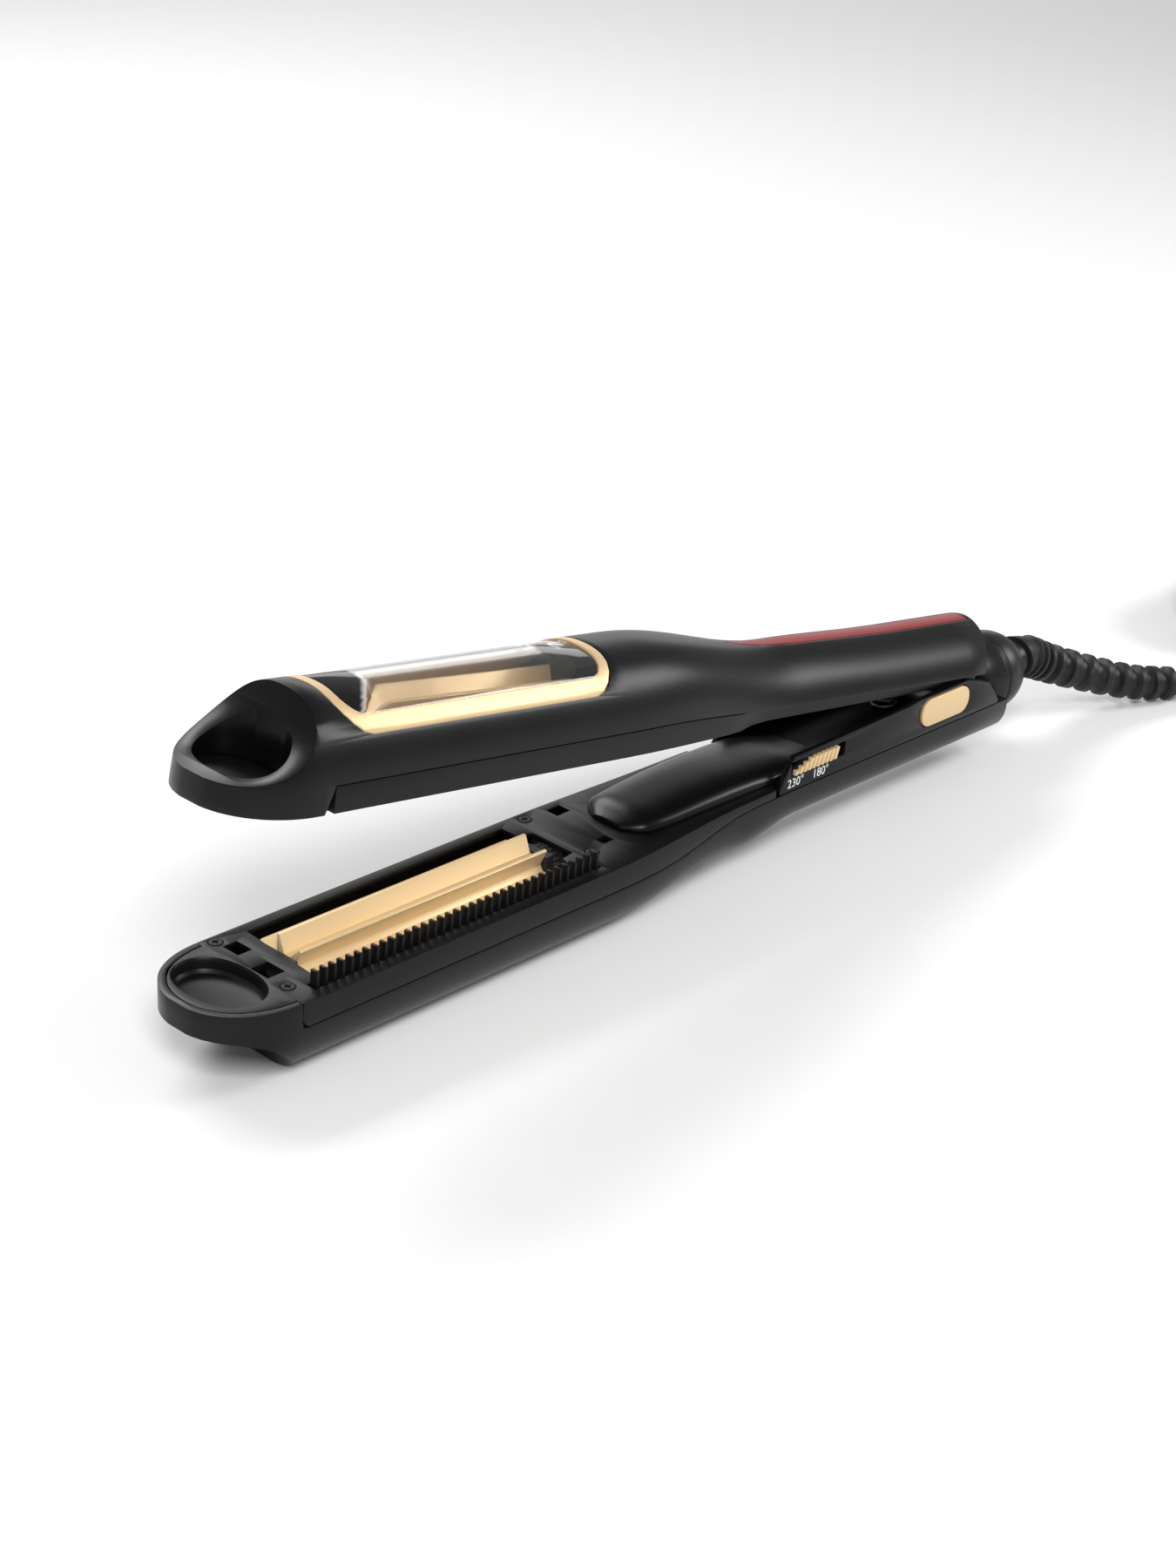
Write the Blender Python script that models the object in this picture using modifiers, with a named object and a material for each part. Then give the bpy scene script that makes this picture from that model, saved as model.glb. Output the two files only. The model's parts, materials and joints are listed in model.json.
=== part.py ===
"""Automatic hair crimper: two hinged arms, each with a heated star roller, a comb, a motor drive and a mains lead.

Lengths are in metres. Every piece is modelled in the arm frame: x runs back from the nose tip, y across
(the controls are on the -y side) and z up from the lower arm's inner face. An empty carries that frame to
the part's own origin, which is the middle of the object's footprint on the surface that it lies on. The
upper arm is modelled as the lower arm's mirror image and hangs on a second empty, at the hinge pin.
"""

import math

import bmesh
import bpy
from mathutils import Matrix, Vector

COLLECTION = "hair_crimper"
GAP = 0.0003

# Arms. Each profile is a list of (station, value), joined by smooth steps.
NOSE_LENGTH = 0.0214
NOSE_ROUND = 2.2
ARM_END = 0.2735
LOWER_END = 0.2800
BELLY_DEPTH = 0.0202
WALL = 0.0016
LOWER_WIDTH = ((0.118, 0.018), (0.172, 0.0154), (0.190, 0.015))
LOWER_DEPTH = ((0.128, 0.0205), (0.164, 0.0156), (0.172, 0.0161), (0.194, 0.0127))
LOWER_PARTING = ((0.135, 0.0064), (0.174, 0.0015))
LOWER_ROUND = ((0.118, 3.0), (0.190, 3.1))
UPPER_WIDTH = ((0.118, 0.018), (0.190, 0.015))
UPPER_DEPTH = ((0.129, 0.0230), (0.188, 0.0158), (0.240, 0.0147))
UPPER_PARTING = ((0.130, 0.0062), (0.190, 0.0034), (0.250, 0.0027))
UPPER_ROUND = ((0.136, 2.3), (0.190, 1.8))
BAND_START = 0.0200
RIM = 0.0017
DECK = 0.0012
SKIRT = 0.0015
DECK_END = 0.2680
CHEEK = 0.0133

# Nose scoops and the oval cups on both sides of each nose.
SCOOP_LENGTH = 0.0224
SCOOP_HEIGHT = 0.0166
SCOOP_TOP = 0.0230
CUP_X = 0.0128
CUP_Y = 0.0012
CUP_LENGTH = 0.0162
CUP_WIDTH = 0.0236
CUP_FLOOR = 0.0034
WEB = 0.0012

# Hinge. The upper arm stands open at rest.
HINGE_X = 0.2600
HINGE_Z = 0.0040
OPEN_ANGLE = math.radians(8.73)
CLOSE_ANGLE = math.radians(10.25)
UPPER_HINGE_X = 0.2603
UPPER_HINGE_Z = -0.0035
PIN_RADIUS = 0.0015

# Rollers: eight V-shaped vanes round a hollow core that turns on a fixed heater.
VANES = 8
TIP_RADIUS = 0.0098
VALLEY_RADIUS = 0.0052
TIP_FLAT = 0.0004
ROLLER_BORE = 0.0031
TRUNNION_RADIUS = 0.0042
HEATER_RADIUS = 0.0027
ROLLER_START = 0.0340
ROLLER_END = 0.1120
ROLLER_Y = 0.0045
LOWER_ROLLER_Z = -0.0073
LOWER_PHASE = math.radians(34.0)
UPPER_PHASE = math.radians(34.0 + 22.5 - 23.0)
UPPER_ROLLER_Z = 0.0070
OPENING = (
    (0.0322, 0.0150),
    (0.0305, -0.0088),
    (0.1120, -0.0088),
    (0.1130, -0.0056),
    (0.1172, -0.0050),
    (0.1172, 0.0085),
    (0.1130, 0.0100),
    (0.1130, 0.0150),
)

# Comb along the near edge of the lower arm.
TEETH = 36
COMB_X = (0.0270, 0.1163)
COMB_Y = (-0.0143, -0.0121)
TOOTH_WIDTH = 0.0011
TOOTH_TOP = 0.0038
COMB_BASE = -0.0030

# Gears between the motor and the lower roller.
GEAR_MODULE = 0.00045
ROLLER_TEETH = 24
PINION_TEETH = 12
GEAR_X = (0.1152, 0.1178)
PINION_Y = -0.0037
PINION_Z = -0.0080
MOTOR_RADIUS = 0.0074
MOTOR_X = (0.1393, 0.1700)
MOTOR_Z = -0.0052
GEARBOX_X = (0.1235, 0.1390)
GEARBOX_RADIUS = 0.0056
COVER_WIDTH = (
    (0.1340, 0.0047),
    (0.1366, 0.0089),
    (0.1390, 0.0106),
    (0.1475, 0.0114),
    (0.1680, 0.0121),
    (0.1826, 0.0124),
    (0.1964, 0.0119),
    (0.2050, 0.0060),
)
COVER_HEIGHT = ((0.1340, 0.0014), (0.1390, 0.0035), (0.1680, 0.0041), (0.1880, 0.0033), (0.2050, 0.0012))
COVER_ROOM = 0.00075

# Controls on the near side panel.
PANEL_Y = (-0.0152, -0.0135)
PANEL_OUTLINE = (
    (0.1820, -0.0011),
    (0.1820, 0.0006),
    (0.1870, 0.0084),
    (0.2340, 0.0091),
    (0.2380, 0.0097),
    (0.2600, 0.0097),
    (0.2640, 0.0084),
    (0.2700, 0.0062),
    (0.2732, 0.0024),
    (0.2752, -0.0002),
    (0.2750, -0.0011),
)
BUTTON_X = (0.2396, 0.2602)
BUTTON_Z = (0.0010, 0.0088)
BUTTON_ROUND = 0.0035
SLIDER_X = (0.1868, 0.2040)
SLIDER_Z = (0.0034, 0.0066)

# Window in the upper shell.
WINDOW_X = (0.0286, 0.1155)
WINDOW_Y = 0.0143
BEZEL = 0.0026

# Rear ball, strain relief, lead and plug.
BALL_X = 0.2885
BALL_Z = -0.0004
BALL_RADIUS = 0.0115
NECK_END = 0.3030
NECK_RADIUS = 0.0052
CORD_DIAMETER = 0.0065
RELIEF_ROUTE = (
    (0.3034, 0.0, -0.0004),
    (0.3058, 0.0, -0.0004),
    (0.3100, -0.0004, -0.0017),
    (0.3180, -0.0024, -0.0052),
    (0.3310, -0.0082, -0.0100),
    (0.3440, -0.0150, -0.0138),
    (0.3560, -0.0206, -0.0155),
)
CORD_ROUTE = (
    (0.3563, -0.0208, -0.0160),
    (0.3640, -0.0242, -0.0168),
    (0.3730, -0.0267, -0.0169),
    (0.3830, -0.0279, -0.0169),
    (0.3950, -0.0280, -0.0169),
    (0.4064, -0.0280, -0.0169),
)
HANK_X = (0.4000, 0.5560)
HANK_Y = -0.0085
HANK_WIDTH = 0.0455
HANK_HEIGHT = 0.0195
HANK_LIFT = 0.0014
TIE = 0.0010
TAIL_STEPS = 16
TAIL_FREE = (0.0226, 0.0600)
TAIL_DROP = 0.0080
PLUG_Y = -0.0110
PLUG_LENGTH = 0.0360
PLUG_WIDTH = 0.0353
PLUG_HEIGHT = 0.0137
PLUG_START = 0.5960
PRONG_LENGTH = 0.0190
PRONG_RADIUS = 0.0020
PRONG_SPACING = 0.0093

# Fasteners: (station, y) of each screw in an arm.
LOWER_SCREWS = ((0.0237, 0.0155), (0.0228, -0.0099), (0.1209, 0.0150), (0.1209, -0.0078))
UPPER_SCREWS = ((0.0245, 0.0150), (0.0245, -0.0099), (0.1209, 0.0150), (0.1209, -0.0078))
SCREW_HEAD = 0.0016
SCREW_SHANK = 0.0009
SCREW_LENGTH = 0.0045
DECK_SLOTS = (
    ((0.0236, 0.0277), (0.0077, 0.0129)),
    ((0.0218, 0.0268), (-0.0044, 0.0014)),
    ((0.1284, 0.1330), (0.0112, 0.0150)),
    ((0.1262, 0.1298), (-0.0066, -0.0036)),
)

# Bearing blocks along each arm, and the journals in them.
FRONT_BEARING_X = (0.0284, 0.0336)
REAR_BEARING_X = (0.1124, 0.1210)
FRONT_JOURNAL = (0.0307, 0.0345)
REAR_JOURNAL = (0.1115, 0.1182)
GEAR_SLOT = (0.1149, 0.1181)
LUG_RADIUS = 0.0027

# Slot of the temperature slider, its ribs, and the far panel's shorter foot.
SLIDER_SLOT_X = (0.1860, 0.2075)
SLIDER_SLOT_Z = (0.0031, 0.0069)
RIBS = 10
FAR_SHIFT = 0.0080

# Spring between the arms, and the stripe along the upper arm's crest.
SPRING_X = 0.2430
SPRING_RADIUS = 0.0032
SPRING_WIRE = 0.0008
SPRING_TURNS = 4
SPRING_TOP = 0.0092
STRIPE_X = (0.1700, 0.2712)
STRIPE_WIDTH = 0.0054

BLACK = (0.012, 0.012, 0.013, 1.0)
DARK = (0.02, 0.02, 0.022, 1.0)
GOLD = (0.75, 0.52, 0.28, 1.0)
RED = (0.25, 0.02, 0.02, 1.0)
STEEL = (0.55, 0.55, 0.57, 1.0)
CLEAR = (0.8, 0.75, 0.68, 0.35)
GREEN = (0.03, 0.16, 0.06, 1.0)
WHITE = (0.8, 0.78, 0.72, 1.0)


# Scene helpers ------------------------------------------------------------------------------------


def clear_scene():
    for obj in list(bpy.data.objects):
        bpy.data.objects.remove(obj, do_unlink=True)


def make_collection(name):
    group = bpy.data.collections.new(name)
    bpy.context.scene.collection.children.link(group)
    return group


def make_empty(name, x, z, angle):
    """An empty on a hinge line across the object, turned about it."""
    empty = bpy.data.objects.new(name, None)
    empty.empty_display_size = 0.02
    empty.location = (x, 0.0, z)
    empty.rotation_euler = (0.0, angle, 0.0)
    parts.objects.link(empty)
    return empty


def material(name, colour, roughness, metallic=0.0):
    made = bpy.data.materials.new(name)
    made.use_nodes = True
    shader = made.node_tree.nodes["Principled BSDF"]
    shader.inputs["Base Color"].default_value = colour
    shader.inputs["Roughness"].default_value = roughness
    shader.inputs["Metallic"].default_value = metallic
    made.diffuse_color = colour
    return made


def finish_piece(name, mesh, arm, look):
    """An object from a mesh, in the arm's frame, with its own material."""
    obj = bpy.data.objects.new(name, mesh)
    parts.objects.link(obj)
    obj.data.materials.append(material(name + "_finish", *look))
    obj.parent = arm
    if arm is upper_arm:
        obj.matrix_parent_inverse = Matrix.Translation((-UPPER_HINGE_X, 0.0, -UPPER_HINGE_Z))
    return obj


def as_cutter(obj):
    parts.objects.unlink(obj)
    cutters.objects.link(obj)
    obj.hide_render = True
    obj.display_type = "WIRE"
    return obj


def boolean(obj, other, operation):
    change = obj.modifiers.new(operation.lower() + "_" + other.name, "BOOLEAN")
    change.operation = operation
    change.solver = "EXACT"
    change.object = as_cutter(other)
    return obj


def cut(obj, *others):
    for other in others:
        boolean(obj, other, "DIFFERENCE")
    return obj


def join(obj, *others):
    for other in others:
        boolean(obj, other, "UNION")
    return obj


def keep_inside(obj, other):
    return boolean(obj, other, "INTERSECT")


# Shapes -------------------------------------------------------------------------------------------


def loft(name, rings, arm, look=(BLACK, 0.4), smooth=True):
    """A closed solid through rings of equally many points, with flat ends."""
    shape = bmesh.new()
    loops = [[shape.verts.new(point) for point in ring] for ring in rings]
    count = len(rings[0])
    for first, second in zip(loops, loops[1:]):
        for i in range(count):
            j = (i + 1) % count
            shape.faces.new((first[i], first[j], second[j], second[i]))
    shape.faces.new(list(reversed(loops[0])))
    shape.faces.new(loops[-1])
    bmesh.ops.recalc_face_normals(shape, faces=shape.faces)
    mesh = bpy.data.meshes.new(name)
    shape.to_mesh(mesh)
    shape.free()
    if smooth:
        mesh.shade_smooth()
        mesh.set_sharp_from_angle(angle=math.radians(35))
    return finish_piece(name, mesh, arm, look)


def box(name, x, y, z, arm, look=(BLACK, 0.4), bevel=0.0):
    shape = bmesh.new()
    bmesh.ops.create_cube(shape, size=1.0)
    size = Matrix.Diagonal((x[1] - x[0], y[1] - y[0], z[1] - z[0], 1.0))
    centre = Vector(((x[0] + x[1]) / 2, (y[0] + y[1]) / 2, (z[0] + z[1]) / 2))
    bmesh.ops.transform(shape, matrix=Matrix.Translation(centre) @ size, verts=shape.verts)
    mesh = bpy.data.meshes.new(name)
    shape.to_mesh(mesh)
    shape.free()
    obj = finish_piece(name, mesh, arm, look)
    if bevel:
        edge = obj.modifiers.new("bevel", "BEVEL")
        edge.width = bevel
        edge.segments = 2
    return obj


def rod(name, start, end, radius, arm, look=(STEEL, 0.3, 1.0), sides=24):
    """A cylinder from one point to another."""
    start = Vector(start)
    end = Vector(end)
    shape = bmesh.new()
    bmesh.ops.create_cone(
        shape, cap_ends=True, segments=sides, radius1=radius, radius2=radius, depth=(end - start).length
    )
    turn = (end - start).to_track_quat("Z", "Y").to_matrix().to_4x4()
    bmesh.ops.transform(shape, matrix=Matrix.Translation((start + end) / 2) @ turn, verts=shape.verts)
    mesh = bpy.data.meshes.new(name)
    shape.to_mesh(mesh)
    shape.free()
    mesh.shade_smooth()
    mesh.set_sharp_from_angle(angle=math.radians(40))
    return finish_piece(name, mesh, arm, look)


def plate(name, outline, axis, low, high, arm, look=(BLACK, 0.4), smooth=False):
    """An outline drawn square to an axis (y or z) and extruded from low to high along it."""
    if axis == "z":
        rings = [[(u, v, level) for u, v in outline] for level in (low, high)]
    else:
        rings = [[(u, level, v) for u, v in outline] for level in (low, high)]
    return loft(name, rings, arm, look, smooth)


def tube(name, points, radius, arm, look, taper=None, resolution=2):
    """A round lead along points, with a radius factor for each of them."""
    curve = bpy.data.curves.new(name, "CURVE")
    curve.dimensions = "3D"
    curve.bevel_depth = radius
    curve.bevel_resolution = resolution
    curve.use_fill_caps = True
    spline = curve.splines.new("POLY")
    spline.points.add(len(points) - 1)
    for i, point in enumerate(points):
        spline.points[i].co = (*point, 1.0)
        spline.points[i].radius = taper[i] if taper else 1.0
    obj = bpy.data.objects.new(name, curve)
    parts.objects.link(obj)
    obj.data.materials.append(material(name + "_finish", *look))
    obj.parent = arm
    return obj


def through(points, steps):
    """Points of a smooth curve through the given ones."""
    given = [Vector(point) for point in points]
    padded = [2 * given[0] - given[1], *given, 2 * given[-1] - given[-2]]
    made = []
    for a, b, c, d in zip(padded, padded[1:], padded[2:], padded[3:]):
        for i in range(steps):
            t = i / steps
            made.append(
                0.5 * (2 * b + (c - a) * t + (2 * a - 5 * b + 4 * c - d) * t**2 + (3 * b - a - 3 * c + d) * t**3)
            )
    made.append(given[-1])
    return made


def stadium(x, y, sides=8):
    """A rectangle's outline with half-round ends along its long way."""
    radius = min(x[1] - x[0], y[1] - y[0]) / 2
    return rounded(x, y, radius, sides)


def rounded(x, y, radius, sides=5):
    """A rectangle's outline with rounded corners."""
    corners = (
        (x[1] - radius, y[1] - radius, 0),
        (x[0] + radius, y[1] - radius, 90),
        (x[0] + radius, y[0] + radius, 180),
        (x[1] - radius, y[0] + radius, 270),
    )
    points = []
    for centre_x, centre_y, start in corners:
        for i in range(sides + 1):
            angle = math.radians(start + 90 * i / sides)
            point = (centre_x + radius * math.cos(angle), centre_y + radius * math.sin(angle))
            if not points or math.dist(point, points[-1]) > 1e-5:
                points.append(point)
    if math.dist(points[0], points[-1]) < 1e-5:
        points.pop()
    return points


def oval(x, y, length, width, sides=28):
    """An oval with slightly squared sides."""
    points = []
    for i in range(sides):
        angle = 2 * math.pi * i / sides
        across = math.copysign(abs(math.sin(angle)) ** 0.9, math.sin(angle))
        along = math.copysign(abs(math.cos(angle)) ** 0.9, math.cos(angle))
        points.append((x + along * length / 2, y + across * width / 2))
    return points


# Arm sections -------------------------------------------------------------------------------------


def value(profile, x):
    """A profile's value at x: level outside its stations, eased between them."""
    if x <= profile[0][0]:
        return profile[0][1]
    for (a, low), (b, high) in zip(profile, profile[1:]):
        if x <= b:
            ease = (1 - math.cos(math.pi * (x - a) / (b - a))) / 2
            return low + (high - low) * ease
    return profile[-1][1]


def half_width(profile, x):
    """Half the arm's width, rounded off as a full half oval at the nose."""
    if x >= NOSE_LENGTH:
        return value(profile, x)
    share = (NOSE_LENGTH - x) / NOSE_LENGTH
    return profile[0][1] * max(0.0, 1 - share**NOSE_ROUND) ** (1 / NOSE_ROUND)


def nose_stations(start_angle=8.0, steps=9):
    angles = (math.radians(start_angle + (90 - start_angle) * i / steps) for i in range(steps))
    return [NOSE_LENGTH * (1 - math.cos(angle)) for angle in angles]


def arm_stations(start, end):
    """Stations along the straight arm, closer together where it narrows."""
    middle = [0.118 + 0.009 * i for i in range(9)]
    fixed = [start, 0.045, 0.082, *middle, 0.205, 0.225, 0.250, end]
    return [x for x in fixed if start <= x <= end]


def arm_arc(x, widths, depths, roundness, inset=0.0, count=22):
    """(y, depth) of an arm's outer section from one side round to the other."""
    width = half_width(widths, x) - inset
    depth = value(depths, x) - inset
    power = 2 / value(roundness, x)
    points = []
    for i in range(count + 1):
        angle = math.pi * i / count
        across = math.copysign(abs(math.cos(angle)) ** power, math.cos(angle))
        points.append((width * across, depth * math.sin(angle) ** power))
    return points


def side_y(x, level, widths, depths, roundness, inset=0.0):
    """The section's half width at a level away from the inner face."""
    width = half_width(widths, x) - inset
    depth = value(depths, x) - inset
    power = value(roundness, x)
    return width * max(0.0, 1 - (level / depth) ** power) ** (1 / power)


def lower_ring(x, inset=0.0, top=0.0, floor=BELLY_DEPTH):
    arc = arm_arc(x, LOWER_WIDTH, LOWER_DEPTH, LOWER_ROUND, inset)
    ring = [(x, y, -min(depth, floor - inset)) for y, depth in arc]
    ring[0] = (x, arc[0][0], top)
    ring[-1] = (x, arc[-1][0], top)
    return ring


def upper_ring(x, inset=0.0, bottom=0.0):
    arc = arm_arc(x, UPPER_WIDTH, UPPER_DEPTH, UPPER_ROUND, inset)
    ring = [(x, y, depth) for y, depth in arc]
    ring[0] = (x, arc[0][0], bottom)
    ring[-1] = (x, arc[-1][0], bottom)
    return ring


def nose_plate_outline(inset, end):
    """The nose's rounded outline, set in from the rim, with a square rear end."""
    half = LOWER_WIDTH[0][1] - inset
    front = []
    for i in range(19):
        angle = math.radians(90 - 180 * i / 18)
        share = math.cos(angle)
        across = max(0.0, 1 - share**NOSE_ROUND) ** (1 / NOSE_ROUND)
        front.append((NOSE_LENGTH - (NOSE_LENGTH - inset) * share, math.copysign(half * across, angle)))
    return [(end, half), *front, (end, -half)]


def scoop_cutter(name, arm, side):
    """The slanted hollow at the outside of a nose, and the oval cup that sinks into it."""
    profile = []
    for i in range(13):
        angle = math.radians(90 * i / 12)
        along = SCOOP_LENGTH * math.sin(angle)
        level = SCOOP_TOP - SCOOP_HEIGHT * math.cos(angle)
        profile.append((along, side * level))
    low = SCOOP_TOP - SCOOP_HEIGHT
    outline = [(-0.006, side * 0.030), (-0.006, side * low), *profile, (SCOOP_LENGTH, side * 0.030)]
    scoop = plate(name, outline, "y", -0.025, 0.025, arm)
    levels = sorted((side * (CUP_FLOOR + WEB), side * 0.026))
    cup = plate(name + "_cup", oval(CUP_X, 0.0, CUP_LENGTH, CUP_WIDTH), "z", *levels, arm)
    return scoop, cup


def plug_rings():
    """Sections of the plug from its cord end to its face."""
    rings = []
    for along, width, height in (
        (0.0, 0.30, 0.62),
        (0.10, 0.36, 0.78),
        (0.32, 0.60, 0.94),
        (0.62, 0.98, 1.0),
        (0.97, 1.0, 1.0),
        (1.0, 0.96, 0.93),
    ):
        x = PLUG_START + PLUG_LENGTH * along
        outline = rounded(
            (PLUG_Y - PLUG_WIDTH * width / 2, PLUG_Y + PLUG_WIDTH * width / 2),
            (-BELLY_DEPTH + 0.0001, -BELLY_DEPTH + 0.0001 + PLUG_HEIGHT * height),
            PLUG_HEIGHT * 0.28,
            3,
        )
        rings.append([(x, y, z) for y, z in outline])
    return rings


# Lower arm ----------------------------------------------------------------------------------------


def shell_stations(end):
    return [*nose_stations(), *arm_stations(NOSE_LENGTH, end)]


def build_lower_shell():
    stations = shell_stations(LOWER_END)
    shell = loft("lower_shell", [lower_ring(x) for x in stations], lower_arm, (BLACK, 0.35))
    inside = arm_stations(0.0240, 0.2719)
    cavity = loft("lower_cavity", [lower_ring(x, WALL, 0.001) for x in inside], lower_arm)
    levels = [0.128, 0.135, 0.145, 0.155, 0.165, 0.174]
    seam = [(x, -value(LOWER_PARTING, x)) for x in levels]
    outline = [
        (BAND_START, 0.006),
        (BAND_START, -0.0048),
        (BAND_START + 0.0004, -0.0060),
        (BAND_START + 0.0016, -0.0064),
        *seam,
        (0.290, seam[-1][1]),
        (0.290, 0.006),
    ]
    band = plate("lower_band", outline, "y", -0.025, 0.025, lower_arm)
    seat = nose_seat("lower_seat", lower_arm, -1)
    socket = ball("ball_socket", BALL_RADIUS + 0.0006, lower_arm)
    spindle = rod("spindle_hole", (0.266, 0.0, BALL_Z), (0.290, 0.0, BALL_Z), 0.0038, lower_arm)
    cut(shell, cavity, band, seat, *scoop_cutter("lower_scoop", lower_arm, -1), socket, spindle)
    for i, (x, y) in enumerate(LOWER_SCREWS[:2]):
        hole = rod("lower_boss_%d" % i, (x, y, -0.010), (x, y, 0.001), SCREW_SHANK + GAP, lower_arm, sides=12)
        cut(shell, hole)


def nose_seat(name, arm, side):
    """Room in a nose for its inner plate and the boss of its cup."""
    levels = sorted((side * 0.0023, -side * 0.004))
    seat = plate(name, nose_plate_outline(RIM, 0.0265), "z", *levels, arm)
    boss = oval(CUP_X, CUP_Y, CUP_LENGTH + 0.0030, CUP_WIDTH + 0.0026)
    levels = sorted((side * (CUP_FLOOR + WEB), -side * 0.001))
    return join(seat, plate(name + "_boss", boss, "z", *levels, arm))


def deck_rings(stations, outline, parting, deck_level, side):
    """Sections of an inner frame: a deck with a skirt down each side."""
    rings = []
    for x in stations:
        half, half_edge, edge = outline(x)
        level = deck_level(x)
        skirt = [(half, level), (half_edge, parting(x)), (half_edge - SKIRT, parting(x))]
        near = [(edge, level + side * DECK)]
        near_ring = [*skirt, *near]
        far_ring = [(-y, z) for y, z in reversed(near_ring)]
        rings.append([(x, y, z) for y, z in [*near_ring, *far_ring]])
    return rings


def lower_top(x):
    return value(((0.118, 0.0), (0.172, 0.0009)), x)


def build_lower_frame():
    def outline(x):
        widths = (LOWER_WIDTH, LOWER_DEPTH, LOWER_ROUND)
        limit = value(((0.1795, 0.018), (0.1815, CHEEK - GAP)), x)
        level = value(LOWER_PARTING, x)
        half = min(side_y(x, 0.0, *widths), limit)
        half_edge = min(side_y(x, level, *widths), limit)
        return half, half_edge, half_edge - SKIRT

    def parting(x):
        corner = max(0.0, 0.0216 + GAP - x) * 1.1
        return -value(LOWER_PARTING, x) + GAP + corner

    stations = [BAND_START + GAP, 0.0219, 0.070, 0.118, 0.127, 0.135, 0.143, 0.151, 0.158, 0.166, 0.174]
    stations += [0.1795, 0.1805, 0.1815, DECK_END]
    rings = deck_rings(stations, outline, parting, lower_top, -1)
    frame = loft("lower_inner_frame", rings, lower_arm, (DARK, 0.5))
    join(frame, nose_plate("lower_nose_plate", lower_arm, -1))
    for side in (1, -1):
        post = hinge_lug("lower_post_%d" % side, side * 0.0065, side * 0.0095, HINGE_X, HINGE_Z, -0.0010, lower_arm)
        join(frame, post)
    opening = plate("lower_opening", OPENING, "z", -0.010, 0.010, lower_arm)
    slot = box("comb_slot", (0.0264, 0.1171), (-0.0146, -0.0118), (-0.010, 0.010), lower_arm)
    motor = box("motor_clearance", (0.1388, 0.1710), (-0.0082, 0.0082), (-0.010, 0.010), lower_arm)
    cut(frame, opening, slot, motor, cup_hollow("lower_cup", lower_arm, -1))
    for number, (x, y) in enumerate(DECK_SLOTS):
        slot = box("deck_slot_%d" % number, x, y, (-0.0040, 0.010), lower_arm)
        cut(frame, slot)
    screw_holes(frame, "lower", LOWER_SCREWS, lower_arm, -1)
    cut(frame, rod("pin_hole", (HINGE_X, -0.02, HINGE_Z), (HINGE_X, 0.02, HINGE_Z), PIN_RADIUS + GAP, lower_arm))


def nose_plate(name, arm, side):
    levels = sorted((side * 0.0020, 0.0))
    made = plate(name, nose_plate_outline(RIM + GAP, 0.0262), "z", *levels, arm)
    boss = oval(CUP_X, CUP_Y, CUP_LENGTH + 0.0024, CUP_WIDTH + 0.0020)
    levels = sorted((side * (CUP_FLOOR + WEB - GAP), side * 0.0010))
    return join(made, plate(name + "_boss", boss, "z", *levels, arm))


def cup_hollow(name, arm, side):
    """The oval cup sunk into a nose plate, with a rounded rim."""
    rings = []
    for depth, grow in ((0.0015, 0.0018), (0.0, 0.0010), (-0.0009, 0.0002), (-0.0026, -0.0002), (-CUP_FLOOR, -0.0016)):
        outline = oval(CUP_X, CUP_Y, CUP_LENGTH + grow, CUP_WIDTH + grow)
        rings.append([(x, y, -side * depth) for x, y in outline])
    return loft(name, rings, arm)


def hinge_lug(name, inner, outer, x, z, base, arm):
    """An eye round the hinge pin with a straight foot towards its deck."""
    sign = 1 if base > z else -1
    outline = []
    for i in range(13):
        angle = math.radians(180 * i / 12)
        outline.append((x + LUG_RADIUS * math.cos(angle), z - sign * LUG_RADIUS * math.sin(angle)))
    outline = [(x + LUG_RADIUS, base), *outline, (x - LUG_RADIUS, base)]
    return plate(name, outline, "y", *sorted((inner, outer)), arm)


def screw_holes(frame, prefix, places, arm, side):
    for number, (x, y) in enumerate(places):
        sink = rod(
            "%s_sink_%d" % (prefix, number), (x, y, side * 0.0005), (x, y, -side * 0.003), 0.0019, arm, sides=16
        )
        hole = rod(
            "%s_hole_%d" % (prefix, number),
            (x, y, side * 0.008),
            (x, y, -side * 0.003),
            SCREW_SHANK + GAP,
            arm,
            sides=12,
        )
        cut(frame, join(sink, hole))


def build_screws(prefix, places, arm, side):
    """Countersunk screws that hold a frame to its shell."""
    for number, (x, y) in enumerate(places):
        head = rod(
            "%s_screw_%d" % (prefix, number + 1),
            (x, y, side * 0.0001),
            (x, y, -side * 0.0006),
            SCREW_HEAD,
            arm,
            (STEEL, 0.4, 1.0),
            16,
        )
        shank = rod(
            "%s_shank_%d" % (prefix, number),
            (x, y, side * SCREW_LENGTH),
            (x, y, side * 0.0),
            SCREW_SHANK,
            arm,
            sides=10,
        )
        join(head, shank)


def build_comb():
    pitch = (COMB_X[1] - COMB_X[0] - TOOTH_WIDTH) / (TEETH - 1)
    outline = [(COMB_X[0], -0.0045), (COMB_X[0], COMB_BASE)]
    for number in range(TEETH):
        x = COMB_X[0] + pitch * number
        foot = 0.0 if number in (0, TEETH - 1) else 0.0001
        outline += [
            (x + foot, COMB_BASE),
            (x + 0.00015, TOOTH_TOP),
            (x + TOOTH_WIDTH - 0.00015, TOOTH_TOP),
            (x + TOOTH_WIDTH - foot, COMB_BASE),
        ]
    outline += [(COMB_X[1], COMB_BASE), (COMB_X[1], -0.0045)]
    cleaned = [point for i, point in enumerate(outline) if i == 0 or math.dist(point, outline[i - 1]) > 1e-6]
    plate("guide_comb", cleaned, "y", *COMB_Y, lower_arm, (DARK, 0.45))


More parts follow.
